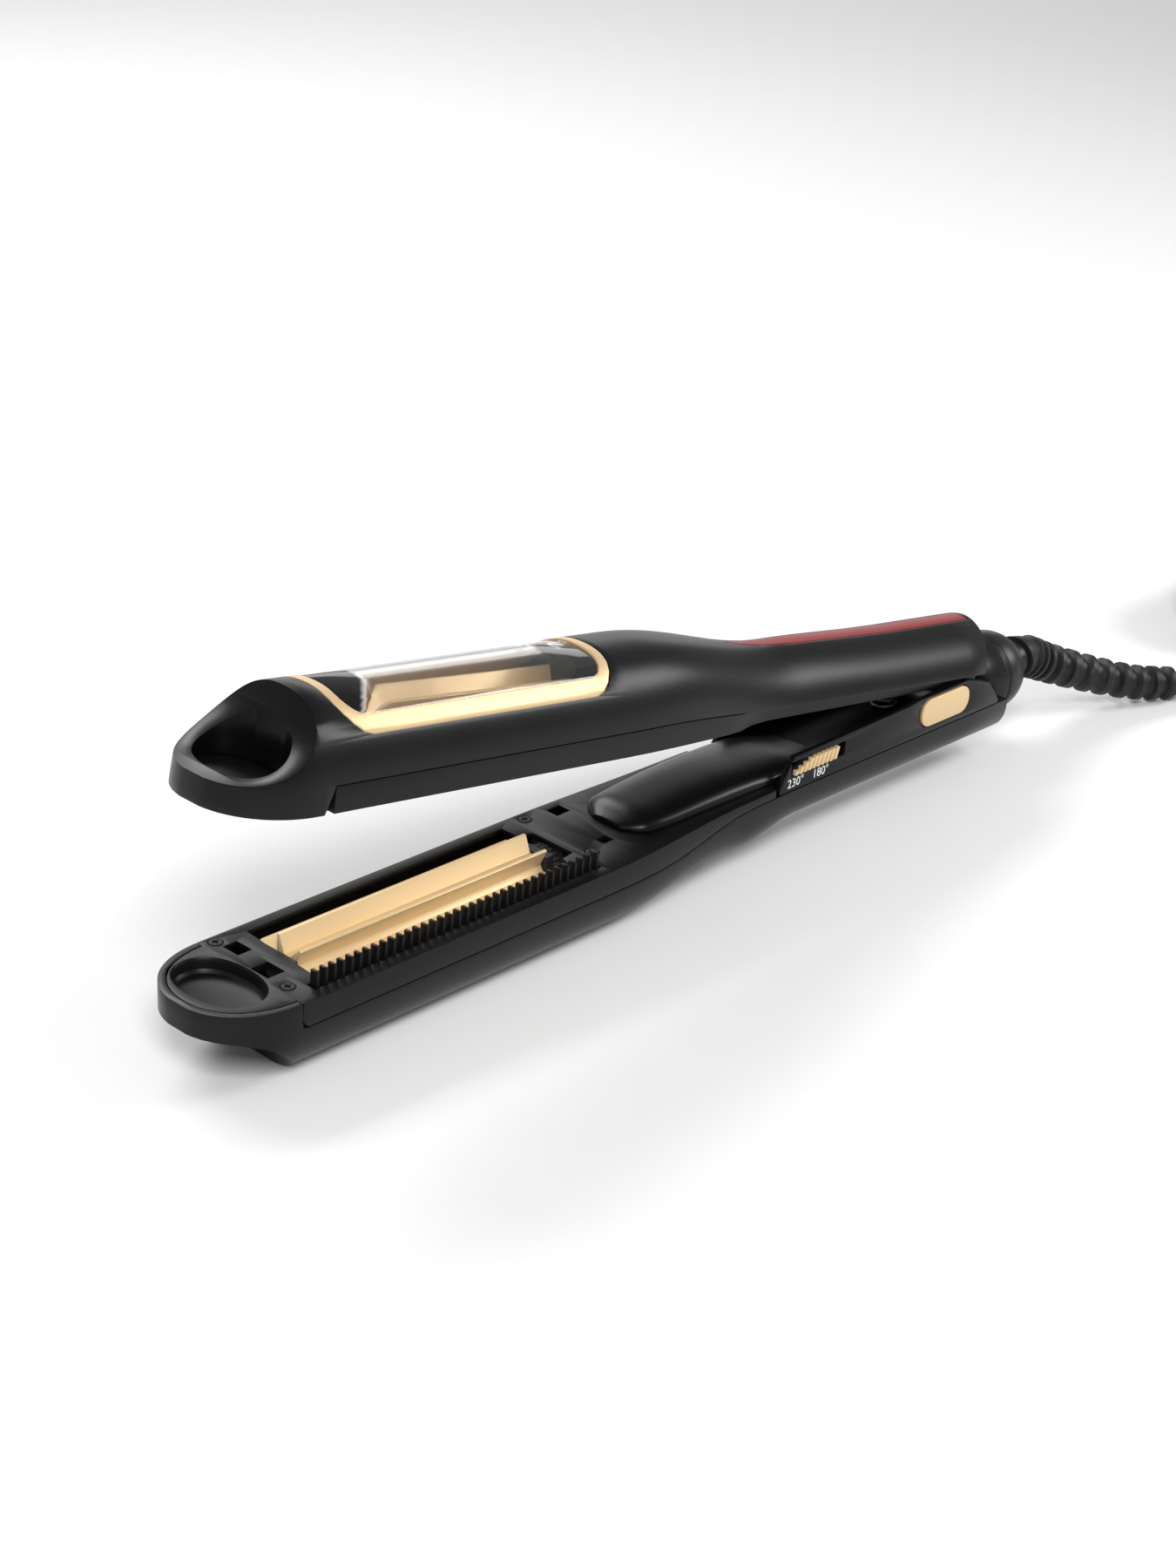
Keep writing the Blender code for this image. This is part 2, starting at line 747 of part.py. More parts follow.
def cover_ring(x, inset):
    """An arch over the motor, springing from the deck."""
    base = lower_top(x) + GAP
    half = value_straight(COVER_WIDTH, x) - inset
    height = value(COVER_HEIGHT, x) - inset
    ring = []
    for i in range(15):
        angle = math.pi * i / 14
        across = math.copysign(abs(math.cos(angle)) ** 0.8, math.cos(angle))
        ring.append((x, half * across, base + height * math.sin(angle) ** 0.7))
    if inset:
        ring = [ring[0][:2] + (base - 0.001,), *ring, ring[-1][:2] + (base - 0.001,)]
    return ring


def value_straight(profile, x):
    """A profile's value at x with straight steps between its stations."""
    for (a, low), (b, high) in zip(profile, profile[1:]):
        if x <= b:
            return low + (high - low) * (x - a) / (b - a)
    return profile[-1][1]


def build_motor_cover():
    stations = [0.1340, 0.1352, 0.1366, 0.1390, 0.1430, 0.1475, 0.158, 0.168, 0.176, 0.1826, 0.190, 0.1964]
    stations += [0.2000, 0.2030, 0.2050]
    cover = loft("motor_cover", [cover_ring(x, 0.0) for x in stations], lower_arm, (BLACK, 0.35))
    inside = [0.1375, 0.1390, 0.1475, 0.158, 0.168, 0.176]
    cavity = loft("cover_cavity", [cover_ring(x, 0.0012) for x in inside], lower_arm)
    cut(cover, cavity)


# Rollers and drive --------------------------------------------------------------------------------


def star_outline(phase):
    outline = []
    for vane in range(VANES):
        tip = phase + 2 * math.pi * vane / VANES
        half = TIP_FLAT / TIP_RADIUS
        for angle, radius in (
            (tip - half, TIP_RADIUS),
            (tip + half, TIP_RADIUS),
            (tip + math.pi / VANES - 0.16, VALLEY_RADIUS + 0.0002),
            (tip + math.pi / VANES + 0.16, VALLEY_RADIUS + 0.0002),
        ):
            outline.append((radius * math.cos(angle), radius * math.sin(angle)))
    return outline


def place(obj, arm, x, y, z, tilt=0.0):
    """Puts a piece that was made about its own axis into an arm."""
    turn = Matrix.Rotation(tilt, 4, "Y")
    move = Matrix.Translation((x, y, z))
    if arm is upper_arm:
        move = Matrix.Translation((x - UPPER_HINGE_X, y, z - UPPER_HINGE_Z))
        obj.matrix_parent_inverse = Matrix.Identity(4)
    obj.matrix_basis = move @ turn
    return obj


def build_roller(name, arm, z, phase, tilt):
    """A star roller about its own axis, hollow for the heater, with a trunnion at each end."""
    middle = (ROLLER_START + ROLLER_END) / 2
    half = (ROLLER_END - ROLLER_START) / 2
    rings = [[(x, y, up) for y, up in star_outline(phase)] for x in (-half, half)]
    roller = loft(name, rings, arm, (GOLD, 0.3, 1.0), smooth=False)
    front = rod(name + "_front", (-half - 0.0030, 0, 0), (-half + 0.002, 0, 0), TRUNNION_RADIUS, arm)
    rear = rod(name + "_rear", (half - 0.002, 0, 0), (half + 0.0058, 0, 0), TRUNNION_RADIUS, arm)
    bore = rod(name + "_bore", (-half - 0.01, 0, 0), (half + 0.01, 0, 0), ROLLER_BORE, arm)
    join(roller, front, rear)
    cut(roller, bore)
    for piece in (roller, front, rear, bore):
        place(piece, arm, middle, ROLLER_Y, z, tilt)


def build_heater(name, arm, z, tilt):
    core = rod(name, (-0.0438, 0, 0), (0.0476, 0, 0), HEATER_RADIUS, arm, (STEEL, 0.5, 1.0))
    place(core, arm, (ROLLER_START + ROLLER_END) / 2, ROLLER_Y, z, tilt)


def bearing(name, arm, x, z, tilt, side, journal, slot=None):
    """A block that carries a roller's trunnion, and the end of its heater."""
    floor = sorted((side * 0.0166, side * 0.0016))
    block = box(name, x, (ROLLER_Y - 0.0052, ROLLER_Y + 0.0052), floor, arm, (DARK, 0.6))
    middle = (ROLLER_START + ROLLER_END) / 2
    bore = rod(name + "_bore", (journal[0] - middle, 0, 0), (journal[1] - middle, 0, 0), TRUNNION_RADIUS + GAP, arm)
    core = rod(name + "_core", (x[0] - middle - 0.01, 0, 0), (x[1] - middle + 0.01, 0, 0), HEATER_RADIUS + GAP, arm)
    for cutter in (bore, core):
        place(cutter, arm, middle, ROLLER_Y, z, tilt)
    cut(block, bore, core)
    if slot:
        cut(block, box(name + "_slot", slot, (-0.004, 0.012), (-0.0135, 0.0), arm))


def gear_outline(teeth, module, phase):
    """A toothed outline with straight flanks."""
    pitch = module * teeth / 2
    outline = []
    for tooth in range(teeth):
        middle = phase + 2 * math.pi * tooth / teeth
        step = math.pi / teeth
        for turn, radius in (
            (-0.86, pitch - 1.15 * module),
            (-0.30, pitch + 0.85 * module),
            (0.30, pitch + 0.85 * module),
            (0.86, pitch - 1.15 * module),
        ):
            angle = middle + turn * step
            outline.append((radius * math.cos(angle), radius * math.sin(angle)))
    return outline


def build_gears():
    toward = math.atan2(PINION_Z - LOWER_ROLLER_Z, PINION_Y - ROLLER_Y)
    middle = (GEAR_X[0] + GEAR_X[1]) / 2
    half = (GEAR_X[1] - GEAR_X[0]) / 2
    rings = [[(x, y, z) for y, z in gear_outline(ROLLER_TEETH, GEAR_MODULE, toward)] for x in (-half, half)]
    gear = loft("roller_gear", rings, lower_arm, (WHITE, 0.5), smooth=False)
    bore = rod("gear_bore", (-0.005, 0, 0), (0.005, 0, 0), TRUNNION_RADIUS + GAP, lower_arm, sides=24)
    cut(gear, bore)
    for piece in (gear, bore):
        place(piece, lower_arm, middle, ROLLER_Y, LOWER_ROLLER_Z)
    phase = toward + math.pi + math.pi / PINION_TEETH
    rings = [[(x, y, z) for y, z in gear_outline(PINION_TEETH, GEAR_MODULE, phase)] for x in (-half, half)]
    pinion = loft("motor_pinion", rings, lower_arm, (WHITE, 0.5), smooth=False)
    shaft = rod("pinion_shaft", (-half, 0, 0), (half + 0.0105, 0, 0), 0.0010, lower_arm, sides=16)
    join(pinion, shaft)
    for piece in (pinion, shaft):
        place(piece, lower_arm, middle, PINION_Y, PINION_Z)


def build_motor():
    rod("motor", (MOTOR_X[0], 0, MOTOR_Z), (MOTOR_X[1], 0, MOTOR_Z), MOTOR_RADIUS, lower_arm, (STEEL, 0.35, 1.0), 28)
    gearbox = rod(
        "gearbox",
        (GEARBOX_X[0], PINION_Y, PINION_Z),
        (GEARBOX_X[1], PINION_Y, PINION_Z),
        GEARBOX_RADIUS,
        lower_arm,
        (STEEL, 0.5, 1.0),
    )
    flange = rod("gearbox_flange", (0.1358, 0, MOTOR_Z), (GEARBOX_X[1], 0, MOTOR_Z), 0.0038, lower_arm)
    bore = rod(
        "shaft_hole", (0.120, PINION_Y, PINION_Z), (0.132, PINION_Y, PINION_Z), 0.0013, lower_arm, sides=16
    )
    cut(join(gearbox, flange), bore)


def build_electrics():
    box("circuit_board", (0.1760, 0.2320), (-0.0098, 0.0098), (-0.0072, -0.0056), lower_arm, (GREEN, 0.5))
    box("power_switch", (0.2440, 0.2540), (-0.0127, -0.0105), (0.0013, 0.0046), lower_arm, (DARK, 0.5))
    box("temperature_switch", (0.2060, 0.2140), (-0.0127, -0.0105), (0.0013, 0.0050), lower_arm, (DARK, 0.5))


# Controls -----------------------------------------------------------------------------------------


def build_panels():
    near = plate("control_panel", PANEL_OUTLINE, "y", *PANEL_Y, lower_arm, (BLACK, 0.3))
    hole = rounded(
        (BUTTON_X[0] - GAP, BUTTON_X[1] + GAP), (BUTTON_Z[0] - GAP, BUTTON_Z[1] + GAP), BUTTON_ROUND + GAP
    )
    cut(near, plate("button_hole", hole, "y", -0.020, -0.010, lower_arm))
    slide = box("slider_slot", SLIDER_SLOT_X, (-0.020, -0.010), SLIDER_SLOT_Z, lower_arm)
    cut(near, slide)
    far = [(x + FAR_SHIFT if x < 0.19 else x, z) for x, z in PANEL_OUTLINE]
    plate("side_panel", far, "y", *sorted((-PANEL_Y[0], -PANEL_Y[1])), lower_arm, (BLACK, 0.3))


def build_button():
    cap = plate(
        "power_button", rounded(BUTTON_X, BUTTON_Z, BUTTON_ROUND), "y", -0.0157, -0.0145, lower_arm, (GOLD, 0.35)
    )
    stem = box("button_stem", (0.2460, 0.2520), (-0.0150, -0.01355), (0.0020, 0.0042), lower_arm)
    join(cap, stem)


def build_slider():
    """The temperature knob: ribs that lean back and grow towards the rear, on a strip behind the panel."""
    outline = [(SLIDER_X[0], SLIDER_Z[0])]
    pitch = (SLIDER_X[1] - SLIDER_X[0]) / RIBS
    for number in range(RIBS):
        x = SLIDER_X[0] + pitch * number
        rise = min(1.0, 0.35 + 0.20 * number)
        top = SLIDER_Z[0] + (SLIDER_Z[1] - SLIDER_Z[0]) * rise
        outline += [(x + 0.1 * pitch, top), (x + 0.75 * pitch, top)]
        if number < RIBS - 1:
            outline += [(x + 0.85 * pitch, top - 0.0006), (x + 1.0 * pitch, top - 0.0006)]
    outline.append((SLIDER_X[1], SLIDER_Z[0]))
    knob = plate("temperature_slider", outline, "y", -0.0160, -0.0140, lower_arm, (GOLD, 0.35))
    strip = box("slider_strip", (0.1900, 0.2010), (-0.0150, -0.0132), (0.0038, 0.0048), lower_arm)
    lip = box("slider_lip", (0.1900, 0.2010), (-0.01320, -0.01296), (0.0030, 0.0058), lower_arm)
    join(knob, strip, lip)


def ball(name, radius, arm, look=(DARK, 0.45)):
    """A ball about the cord swivel's axis."""
    shape = bmesh.new()
    bmesh.ops.create_uvsphere(shape, u_segments=28, v_segments=16, radius=radius)
    turn = Matrix.Rotation(math.pi / 2, 4, "Y")
    bmesh.ops.transform(shape, matrix=turn, verts=shape.verts)
    mesh = bpy.data.meshes.new(name)
    shape.to_mesh(mesh)
    shape.free()
    mesh.shade_smooth()
    obj = finish_piece(name, mesh, arm, look)
    obj.location = (BALL_X, 0.0, BALL_Z)
    return obj


def build_swivel():
    swivel = ball("cord_swivel_ball", BALL_RADIUS, lower_arm)
    neck = rod("swivel_neck", (BALL_X + 0.004, 0, BALL_Z), (NECK_END, 0, BALL_Z), NECK_RADIUS, lower_arm)
    spindle = rod("swivel_spindle", (0.2690, 0, BALL_Z), (BALL_X - 0.004, 0, BALL_Z), 0.0034, lower_arm)
    collar = rod("swivel_collar", (0.2690, 0, BALL_Z), (0.2713, 0, BALL_Z), 0.0055, lower_arm)
    join(swivel, neck, spindle, collar)


# Hinge and spring ---------------------------------------------------------------------------------


def build_hinge_pin():
    rod("hinge_pin", (HINGE_X, -0.0126, HINGE_Z), (HINGE_X, 0.0126, HINGE_Z), PIN_RADIUS, lower_arm)


def build_spring():
    """A coil that pushes the arms apart, between the deck and the upper frame."""
    points = []
    steps = SPRING_TURNS * 14
    bottom = lower_top(SPRING_X) + GAP + SPRING_WIRE / 2
    for i in range(steps + 1):
        turn = 2 * math.pi * i / 14
        level = bottom + (SPRING_TOP - SPRING_WIRE / 2 - bottom) * i / steps
        points.append((SPRING_X + SPRING_RADIUS * math.cos(turn), SPRING_RADIUS * math.sin(turn), level))
    tube("arm_spring", points, SPRING_WIRE / 2, lower_arm, (STEEL, 0.3, 1.0), resolution=1)


# Upper arm ----------------------------------------------------------------------------------------


def upper_solid(name, inset, end, start=None):
    """The upper arm's outside, or a skin that lies inside it."""
    if start is None:
        stations = shell_stations(end)
    else:
        stations = arm_stations(start, end)
    bottom = -0.002 if inset else 0.0
    return loft(name, [upper_ring(x, inset, bottom) for x in stations], upper_arm, (BLACK, 0.35))


def window_outline(grow):
    corner = 0.0080 + grow
    x = (WINDOW_X[0] - grow, WINDOW_X[1] + grow)
    return rounded(x, (-WINDOW_Y - grow, WINDOW_Y + grow), corner, 5)


def crest(x, y):
    """Height of the upper arm's outside at a point in plan."""
    width = half_width(UPPER_WIDTH, x)
    power = value(UPPER_ROUND, x)
    return value(UPPER_DEPTH, x) * (1 - min(1.0, abs(y) / width) ** power) ** (1 / power)


def stripe_band(name, grow, low, high):
    """A strip along the crest that tapers to a point at its front, between two heights off the surface."""
    rings = []
    for share in (0.0, 0.04, 0.12, 0.25, 0.45, 0.65, 0.85, 1.0):
        x = STRIPE_X[0] - grow + (STRIPE_X[1] - STRIPE_X[0] + 2 * grow) * share
        half = STRIPE_WIDTH / 2 * min(1.0, 0.12 + (share / 0.25) ** 0.7 * 0.88) + grow
        across = [half * (k / 3 - 1) for k in range(7)]
        top = [(x, y, crest(x, y) + high) for y in across]
        rings.append(top + [(x, y, crest(x, y) + low) for y in reversed(across)])
    return loft(name, rings, upper_arm, (RED, 0.35))


def build_upper_shell():
    shell = upper_solid("upper_shell", 0.0, ARM_END)
    cavity = upper_solid("upper_cavity", WALL, 0.2640, 0.0240)
    levels = [0.130, 0.140, 0.150, 0.161, 0.170, 0.180, 0.190, 0.205, 0.220, 0.235, 0.250]
    edge = [(x, value(UPPER_PARTING, x)) for x in levels]
    outline = [(0.0220, -0.006), (0.0220, 0.0), (0.0245, 0.0062), *edge, (0.290, 0.0027), (0.290, -0.006)]
    band = plate("upper_band", outline, "y", -0.025, 0.025, upper_arm)
    seat = nose_seat("upper_seat", upper_arm, 1)
    window = plate("window_hole", window_outline(GAP), "z", 0.004, 0.030, upper_arm)
    rear = [(0.2738, 0.0160), (0.2665, 0.0), (0.2900, 0.0), (0.2900, 0.0160)]
    slant = plate("rear_slant", rear, "y", -0.025, 0.025, upper_arm)
    groove = stripe_band("stripe_groove", GAP, -0.0009, 0.002)
    cut(shell, cavity, band, seat, *scoop_cutter("upper_scoop", upper_arm, 1), window, slant, groove)
    for i, (x, y) in enumerate(UPPER_SCREWS[:2]):
        hole = rod("upper_boss_%d" % i, (x, y, 0.010), (x, y, -0.001), SCREW_SHANK + GAP, upper_arm, sides=12)
        cut(shell, hole)


def build_upper_frame():
    def outline(x):
        widths = (UPPER_WIDTH, UPPER_DEPTH, UPPER_ROUND)
        limit = value(((0.150, 0.018), (0.176, 0.0126)), x)
        level = value(UPPER_PARTING, x)
        half = min(side_y(x, 0.0, *widths), limit)
        half_edge = min(side_y(x, level, *widths), limit)
        return half, half_edge, half_edge - SKIRT

    def parting(x):
        return value(UPPER_PARTING, x) - GAP

    def level(x):
        return 0.0

    stations = [0.0247, 0.070, 0.118, 0.126, 0.134, 0.142, 0.150, 0.156, 0.162, 0.169, 0.176, 0.190, 0.215]
    stations += [0.240, 0.2660]
    rings = deck_rings(stations, outline, parting, level, 1)
    frame = loft("upper_inner_frame", rings, upper_arm, (DARK, 0.5))
    join(frame, nose_plate("upper_nose_plate", upper_arm, 1))
    for side in (1, -1):
        lug = hinge_lug(
            "upper_ear_%d" % side, side * 0.0100, side * 0.0122, UPPER_HINGE_X, UPPER_HINGE_Z, 0.0008, upper_arm
        )
        join(frame, lug)
    opening = plate("upper_opening", OPENING, "z", -0.010, 0.010, upper_arm)
    slot = box("upper_comb_slot", (0.0262, 0.1176), (-0.0151, -0.0115), (-0.010, 0.010), upper_arm)
    side = [(x, min(half + 2 * GAP, 0.0109)) for x, half in COVER_WIDTH]
    side = [(side[0][0] - 0.001, side[0][1]), *side, (side[-1][0] + 0.001, side[-1][1])]
    outline = [*side, *((x, -half) for x, half in reversed(side))]
    room = plate("cover_room", outline, "z", -0.001, COVER_ROOM, upper_arm)
    cut(frame, opening, slot, room, cup_hollow("upper_cup", upper_arm, 1))
    screw_holes(frame, "upper", UPPER_SCREWS, upper_arm, 1)
    pin = (UPPER_HINGE_X, 0.02, UPPER_HINGE_Z)
    cut(frame, rod("ear_hole", (pin[0], -pin[1], pin[2]), pin, PIN_RADIUS + GAP, upper_arm))


def build_window():
    bezel = upper_solid("window_bezel", 0.0, 0.1400, 0.0240)
    keep_inside(bezel, plate("bezel_outline", window_outline(0.0), "z", 0.004, 0.030, upper_arm))
    cut(bezel, upper_solid("bezel_back", WALL, 0.1420, 0.0230))
    cut(bezel, plate("bezel_hole", window_outline(-BEZEL), "z", 0.004, 0.030, upper_arm))
    glass = upper_solid("window_glass", 0.0003, 0.1400, 0.0240)
    glass.data.materials[0] = material("window_glass_finish", CLEAR, 0.08)
    keep_inside(glass, plate("glass_outline", window_outline(-BEZEL - GAP), "z", 0.004, 0.030, upper_arm))
    cut(glass, upper_solid("glass_back", 0.0013, 0.1420, 0.0230))


def build_stripe():
    stripe_band("red_stripe", 0.0, -0.0006, 0.0)


# Cord ---------------------------------------------------------------------------------------------


def build_relief():
    """The ribbed sleeve at the start of the lead, which droops under its own weight."""
    points = through(RELIEF_ROUTE, 8)
    taper = []
    points[0].z = points[1].z
    for i in range(len(points)):
        share = i / (len(points) - 1)
        smooth = 0.0060 - 0.0019 * share
        rib = 0.0 if share < 0.30 else 0.0004 * (-1 if i % 2 else 1)
        taper.append((smooth + rib) / 0.0060)
    tube("strain_relief", points, 0.0060, lower_arm, (DARK, 0.55), taper, resolution=3)


def tail_point(along):
    """A point of the lead's last stretch: off the hank's top layer, down and across to the plug."""
    across = (1 - math.cos(math.pi * along / TAIL_FREE[1])) / 2
    fall = max(0.0, along - TAIL_DROP) / (TAIL_FREE[1] - TAIL_DROP)
    down = (1 - math.cos(math.pi * fall)) / 2
    start = Vector((HANK_X[1] - HANK_WIDTH / 2, HANK_Y - HANK_WIDTH / 2 + CORD_DIAMETER / 2))
    top = -BELLY_DEPTH + 0.0001 + CORD_DIAMETER * 2.5
    rest = -BELLY_DEPTH + 0.0001 + PLUG_HEIGHT * 0.31
    return (start.x + along, start.y + (PLUG_Y - start.y) * across, top + (rest - top) * down)


def build_cord():
    look = (DARK, 0.5)
    tube("cord_run", through(CORD_ROUTE, 5), CORD_DIAMETER / 2, lower_arm, look)
    level = -BELLY_DEPTH + HANK_LIFT
    sides = (HANK_Y - HANK_WIDTH / 2, HANK_Y + HANK_WIDTH / 2)
    hank = stadium(HANK_X, sides, 8)
    plate("cord_hank", hank, "z", level, level + HANK_HEIGHT, lower_arm, look, smooth=True)
    middle = (HANK_X[0] + HANK_X[1]) / 2
    low = -BELLY_DEPTH + 0.0001
    outer = (sides[0] - GAP - TIE, sides[1] + GAP + TIE)
    tie = box("cord_tie", (middle - 0.003, middle + 0.003), outer, (low, level + HANK_HEIGHT + GAP + TIE), lower_arm)
    inner = (sides[0] - GAP, sides[1] + GAP)
    cut(tie, box("tie_hole", (middle - 0.01, middle + 0.01), inner, (level - GAP, level + HANK_HEIGHT + GAP), lower_arm))
    points = [tail_point(TAIL_FREE[0] + (TAIL_FREE[1] - TAIL_FREE[0]) * i / TAIL_STEPS) for i in range(TAIL_STEPS + 1)]
    points.append((PLUG_START - GAP, PLUG_Y, points[-1][2]))
    tube("cord_tail", points, CORD_DIAMETER / 2, lower_arm, look)
    loft("plug_body", plug_rings(), lower_arm, look)
    level = -BELLY_DEPTH + PLUG_HEIGHT / 2
    for number, side in enumerate((-1, 1)):
        y = PLUG_Y + side * PRONG_SPACING
        face = PLUG_START + PLUG_LENGTH
        ends = ((face + GAP, y, level), (face + PRONG_LENGTH, y, level))
        rod("plug_pin_%d" % (number + 1), *ends, PRONG_RADIUS, lower_arm, (STEEL, 0.25, 1.0), 16)


def build_lower_arm():
    build_lower_shell()
    build_lower_frame()
    build_screws("lower", LOWER_SCREWS, lower_arm, -1)
    build_comb()
    build_motor_cover()
    build_roller("lower_roller", lower_arm, LOWER_ROLLER_Z, LOWER_PHASE, 0.0)
    build_heater("lower_heater", lower_arm, LOWER_ROLLER_Z, 0.0)
    bearing("lower_front_bearing", lower_arm, FRONT_BEARING_X, LOWER_ROLLER_Z, 0.0, -1, FRONT_JOURNAL)
    bearing("lower_rear_bearing", lower_arm, REAR_BEARING_X, LOWER_ROLLER_Z, 0.0, -1, REAR_JOURNAL, GEAR_SLOT)
    build_gears()
    build_motor()
    build_electrics()
    build_panels()
    build_button()
    build_slider()
    build_swivel()
    build_hinge_pin()
    build_spring()


def build_upper_arm():
    tilt = CLOSE_ANGLE - OPEN_ANGLE
    build_upper_shell()
    build_upper_frame()
    build_screws("upper", UPPER_SCREWS, upper_arm, 1)
    build_window()
    build_stripe()
    build_roller("upper_roller", upper_arm, UPPER_ROLLER_Z, UPPER_PHASE, tilt)
    build_heater("upper_heater", upper_arm, UPPER_ROLLER_Z, tilt)
    bearing("upper_front_bearing", upper_arm, FRONT_BEARING_X, UPPER_ROLLER_Z, tilt, 1, FRONT_JOURNAL)
    bearing("upper_rear_bearing", upper_arm, REAR_BEARING_X, UPPER_ROLLER_Z, tilt, 1, REAR_JOURNAL)


clear_scene()
parts = make_collection(COLLECTION)
cutters = make_collection("cutters")
lower_arm = make_empty("arm_frame", -(nose_stations()[0] + NECK_END) / 2, BELLY_DEPTH, 0.0)
upper_arm = make_empty("upper_arm_frame", HINGE_X, HINGE_Z, OPEN_ANGLE)
upper_arm.parent = lower_arm
build_lower_arm()
build_upper_arm()
build_relief()
build_cord()
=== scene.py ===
"""Visual model of the hair crimper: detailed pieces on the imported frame, with finishes, lights and camera."""

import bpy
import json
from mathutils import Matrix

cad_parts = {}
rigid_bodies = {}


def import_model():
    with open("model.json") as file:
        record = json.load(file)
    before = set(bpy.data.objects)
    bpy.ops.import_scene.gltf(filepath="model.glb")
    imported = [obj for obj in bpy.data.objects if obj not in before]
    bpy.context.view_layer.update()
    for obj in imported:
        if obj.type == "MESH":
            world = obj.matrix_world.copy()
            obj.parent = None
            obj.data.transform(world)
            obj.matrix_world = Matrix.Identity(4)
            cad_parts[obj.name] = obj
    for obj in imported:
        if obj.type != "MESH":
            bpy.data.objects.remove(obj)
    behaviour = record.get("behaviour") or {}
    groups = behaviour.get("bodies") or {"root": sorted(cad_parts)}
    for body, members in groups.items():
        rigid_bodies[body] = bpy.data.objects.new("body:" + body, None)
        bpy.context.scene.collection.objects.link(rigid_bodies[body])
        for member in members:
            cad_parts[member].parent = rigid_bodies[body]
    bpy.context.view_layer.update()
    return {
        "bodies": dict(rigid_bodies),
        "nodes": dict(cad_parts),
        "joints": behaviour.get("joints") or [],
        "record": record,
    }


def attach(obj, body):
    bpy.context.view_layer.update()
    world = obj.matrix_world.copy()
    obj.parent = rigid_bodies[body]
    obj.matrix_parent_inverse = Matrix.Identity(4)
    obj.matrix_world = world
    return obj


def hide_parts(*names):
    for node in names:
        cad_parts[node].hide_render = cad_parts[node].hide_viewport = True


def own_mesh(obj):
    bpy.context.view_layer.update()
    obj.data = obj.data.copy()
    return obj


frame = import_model()

import json
import math

import bmesh
import bpy
from mathutils import Matrix, Vector

GAP = 0.0003
MERGE = 2e-6
SHARP = math.radians(38)

# Arms. Each profile is a list of (station, value), joined by smooth steps.
NOSE_LENGTH = 0.0214
NOSE_ROUND = 2.2
ARM_END = 0.2735
LOWER_END = 0.2800
BELLY_DEPTH = 0.0202
WALL = 0.0016
LOWER_WIDTH = ((0.118, 0.018), (0.172, 0.0154), (0.190, 0.015))
LOWER_DEPTH = ((0.128, 0.0205), (0.164, 0.0156), (0.172, 0.0161), (0.194, 0.0127))
LOWER_PARTING = ((0.135, 0.0064), (0.174, 0.0015))
LOWER_ROUND = ((0.118, 3.0), (0.190, 3.1))
UPPER_WIDTH = ((0.118, 0.018), (0.190, 0.015))
UPPER_DEPTH = ((0.129, 0.0230), (0.188, 0.0158), (0.240, 0.0147))
UPPER_PARTING = ((0.130, 0.0062), (0.190, 0.0034), (0.250, 0.0027))
UPPER_ROUND = ((0.136, 2.3), (0.190, 1.8))
BAND_START = 0.0200
RIM = 0.0017
DECK = 0.0012
SKIRT = 0.0015
DECK_END = 0.2680
CHEEK = 0.0133

# Nose scoops and the oval cups on both sides of each nose.
SCOOP_LENGTH = 0.0224
SCOOP_HEIGHT = 0.0166
SCOOP_TOP = 0.0230
CUP_X = 0.0128
CUP_Y = 0.0012
CUP_LENGTH = 0.0162
CUP_WIDTH = 0.0236
CUP_FLOOR = 0.0034
WEB = 0.0012

# Hinge. The upper arm stands open at rest.
HINGE_X = 0.2600
HINGE_Z = 0.0040
OPEN_ANGLE = math.radians(8.73)
CLOSE_ANGLE = math.radians(10.25)
UPPER_HINGE_X = 0.2603
UPPER_HINGE_Z = -0.0035
PIN_RADIUS = 0.0015

# Rollers: eight V-shaped vanes round a hollow core that turns on a fixed heater.
VANES = 8
TIP_RADIUS = 0.0098
VALLEY_RADIUS = 0.0052
TIP_FLAT = 0.0004
ROLLER_BORE = 0.0031
TRUNNION_RADIUS = 0.0042
ROLLER_START = 0.0340
ROLLER_END = 0.1120
ROLLER_Y = 0.0045
LOWER_ROLLER_Z = -0.0073
LOWER_PHASE = math.radians(34.0)
UPPER_PHASE = math.radians(34.0 + 22.5 - 23.0)
UPPER_ROLLER_Z = 0.0070
OPENING = (
    (0.0322, 0.0150),
    (0.0305, -0.0088),
    (0.1120, -0.0088),
    (0.1130, -0.0056),
    (0.1172, -0.0050),
    (0.1172, 0.0085),
    (0.1130, 0.0100),
    (0.1130, 0.0150),
)

# Comb along the near edge of the lower arm.
TEETH = 36
COMB_X = (0.0270, 0.1163)
COMB_Y = (-0.0143, -0.0121)
TOOTH_WIDTH = 0.0011
TOOTH_TOP = 0.0038
COMB_BASE = -0.0030

# Cover over the motor and the gears between it and the lower roller.
COVER_WIDTH = (
    (0.1340, 0.0047),
    (0.1366, 0.0089),
    (0.1390, 0.0106),
    (0.1475, 0.0114),
    (0.1680, 0.0121),
    (0.1826, 0.0124),
    (0.1964, 0.0119),
    (0.2050, 0.0060),
)
COVER_HEIGHT = ((0.1340, 0.0014), (0.1390, 0.0035), (0.1680, 0.0041), (0.1880, 0.0033), (0.2050, 0.0012))
COVER_ROOM = 0.00075

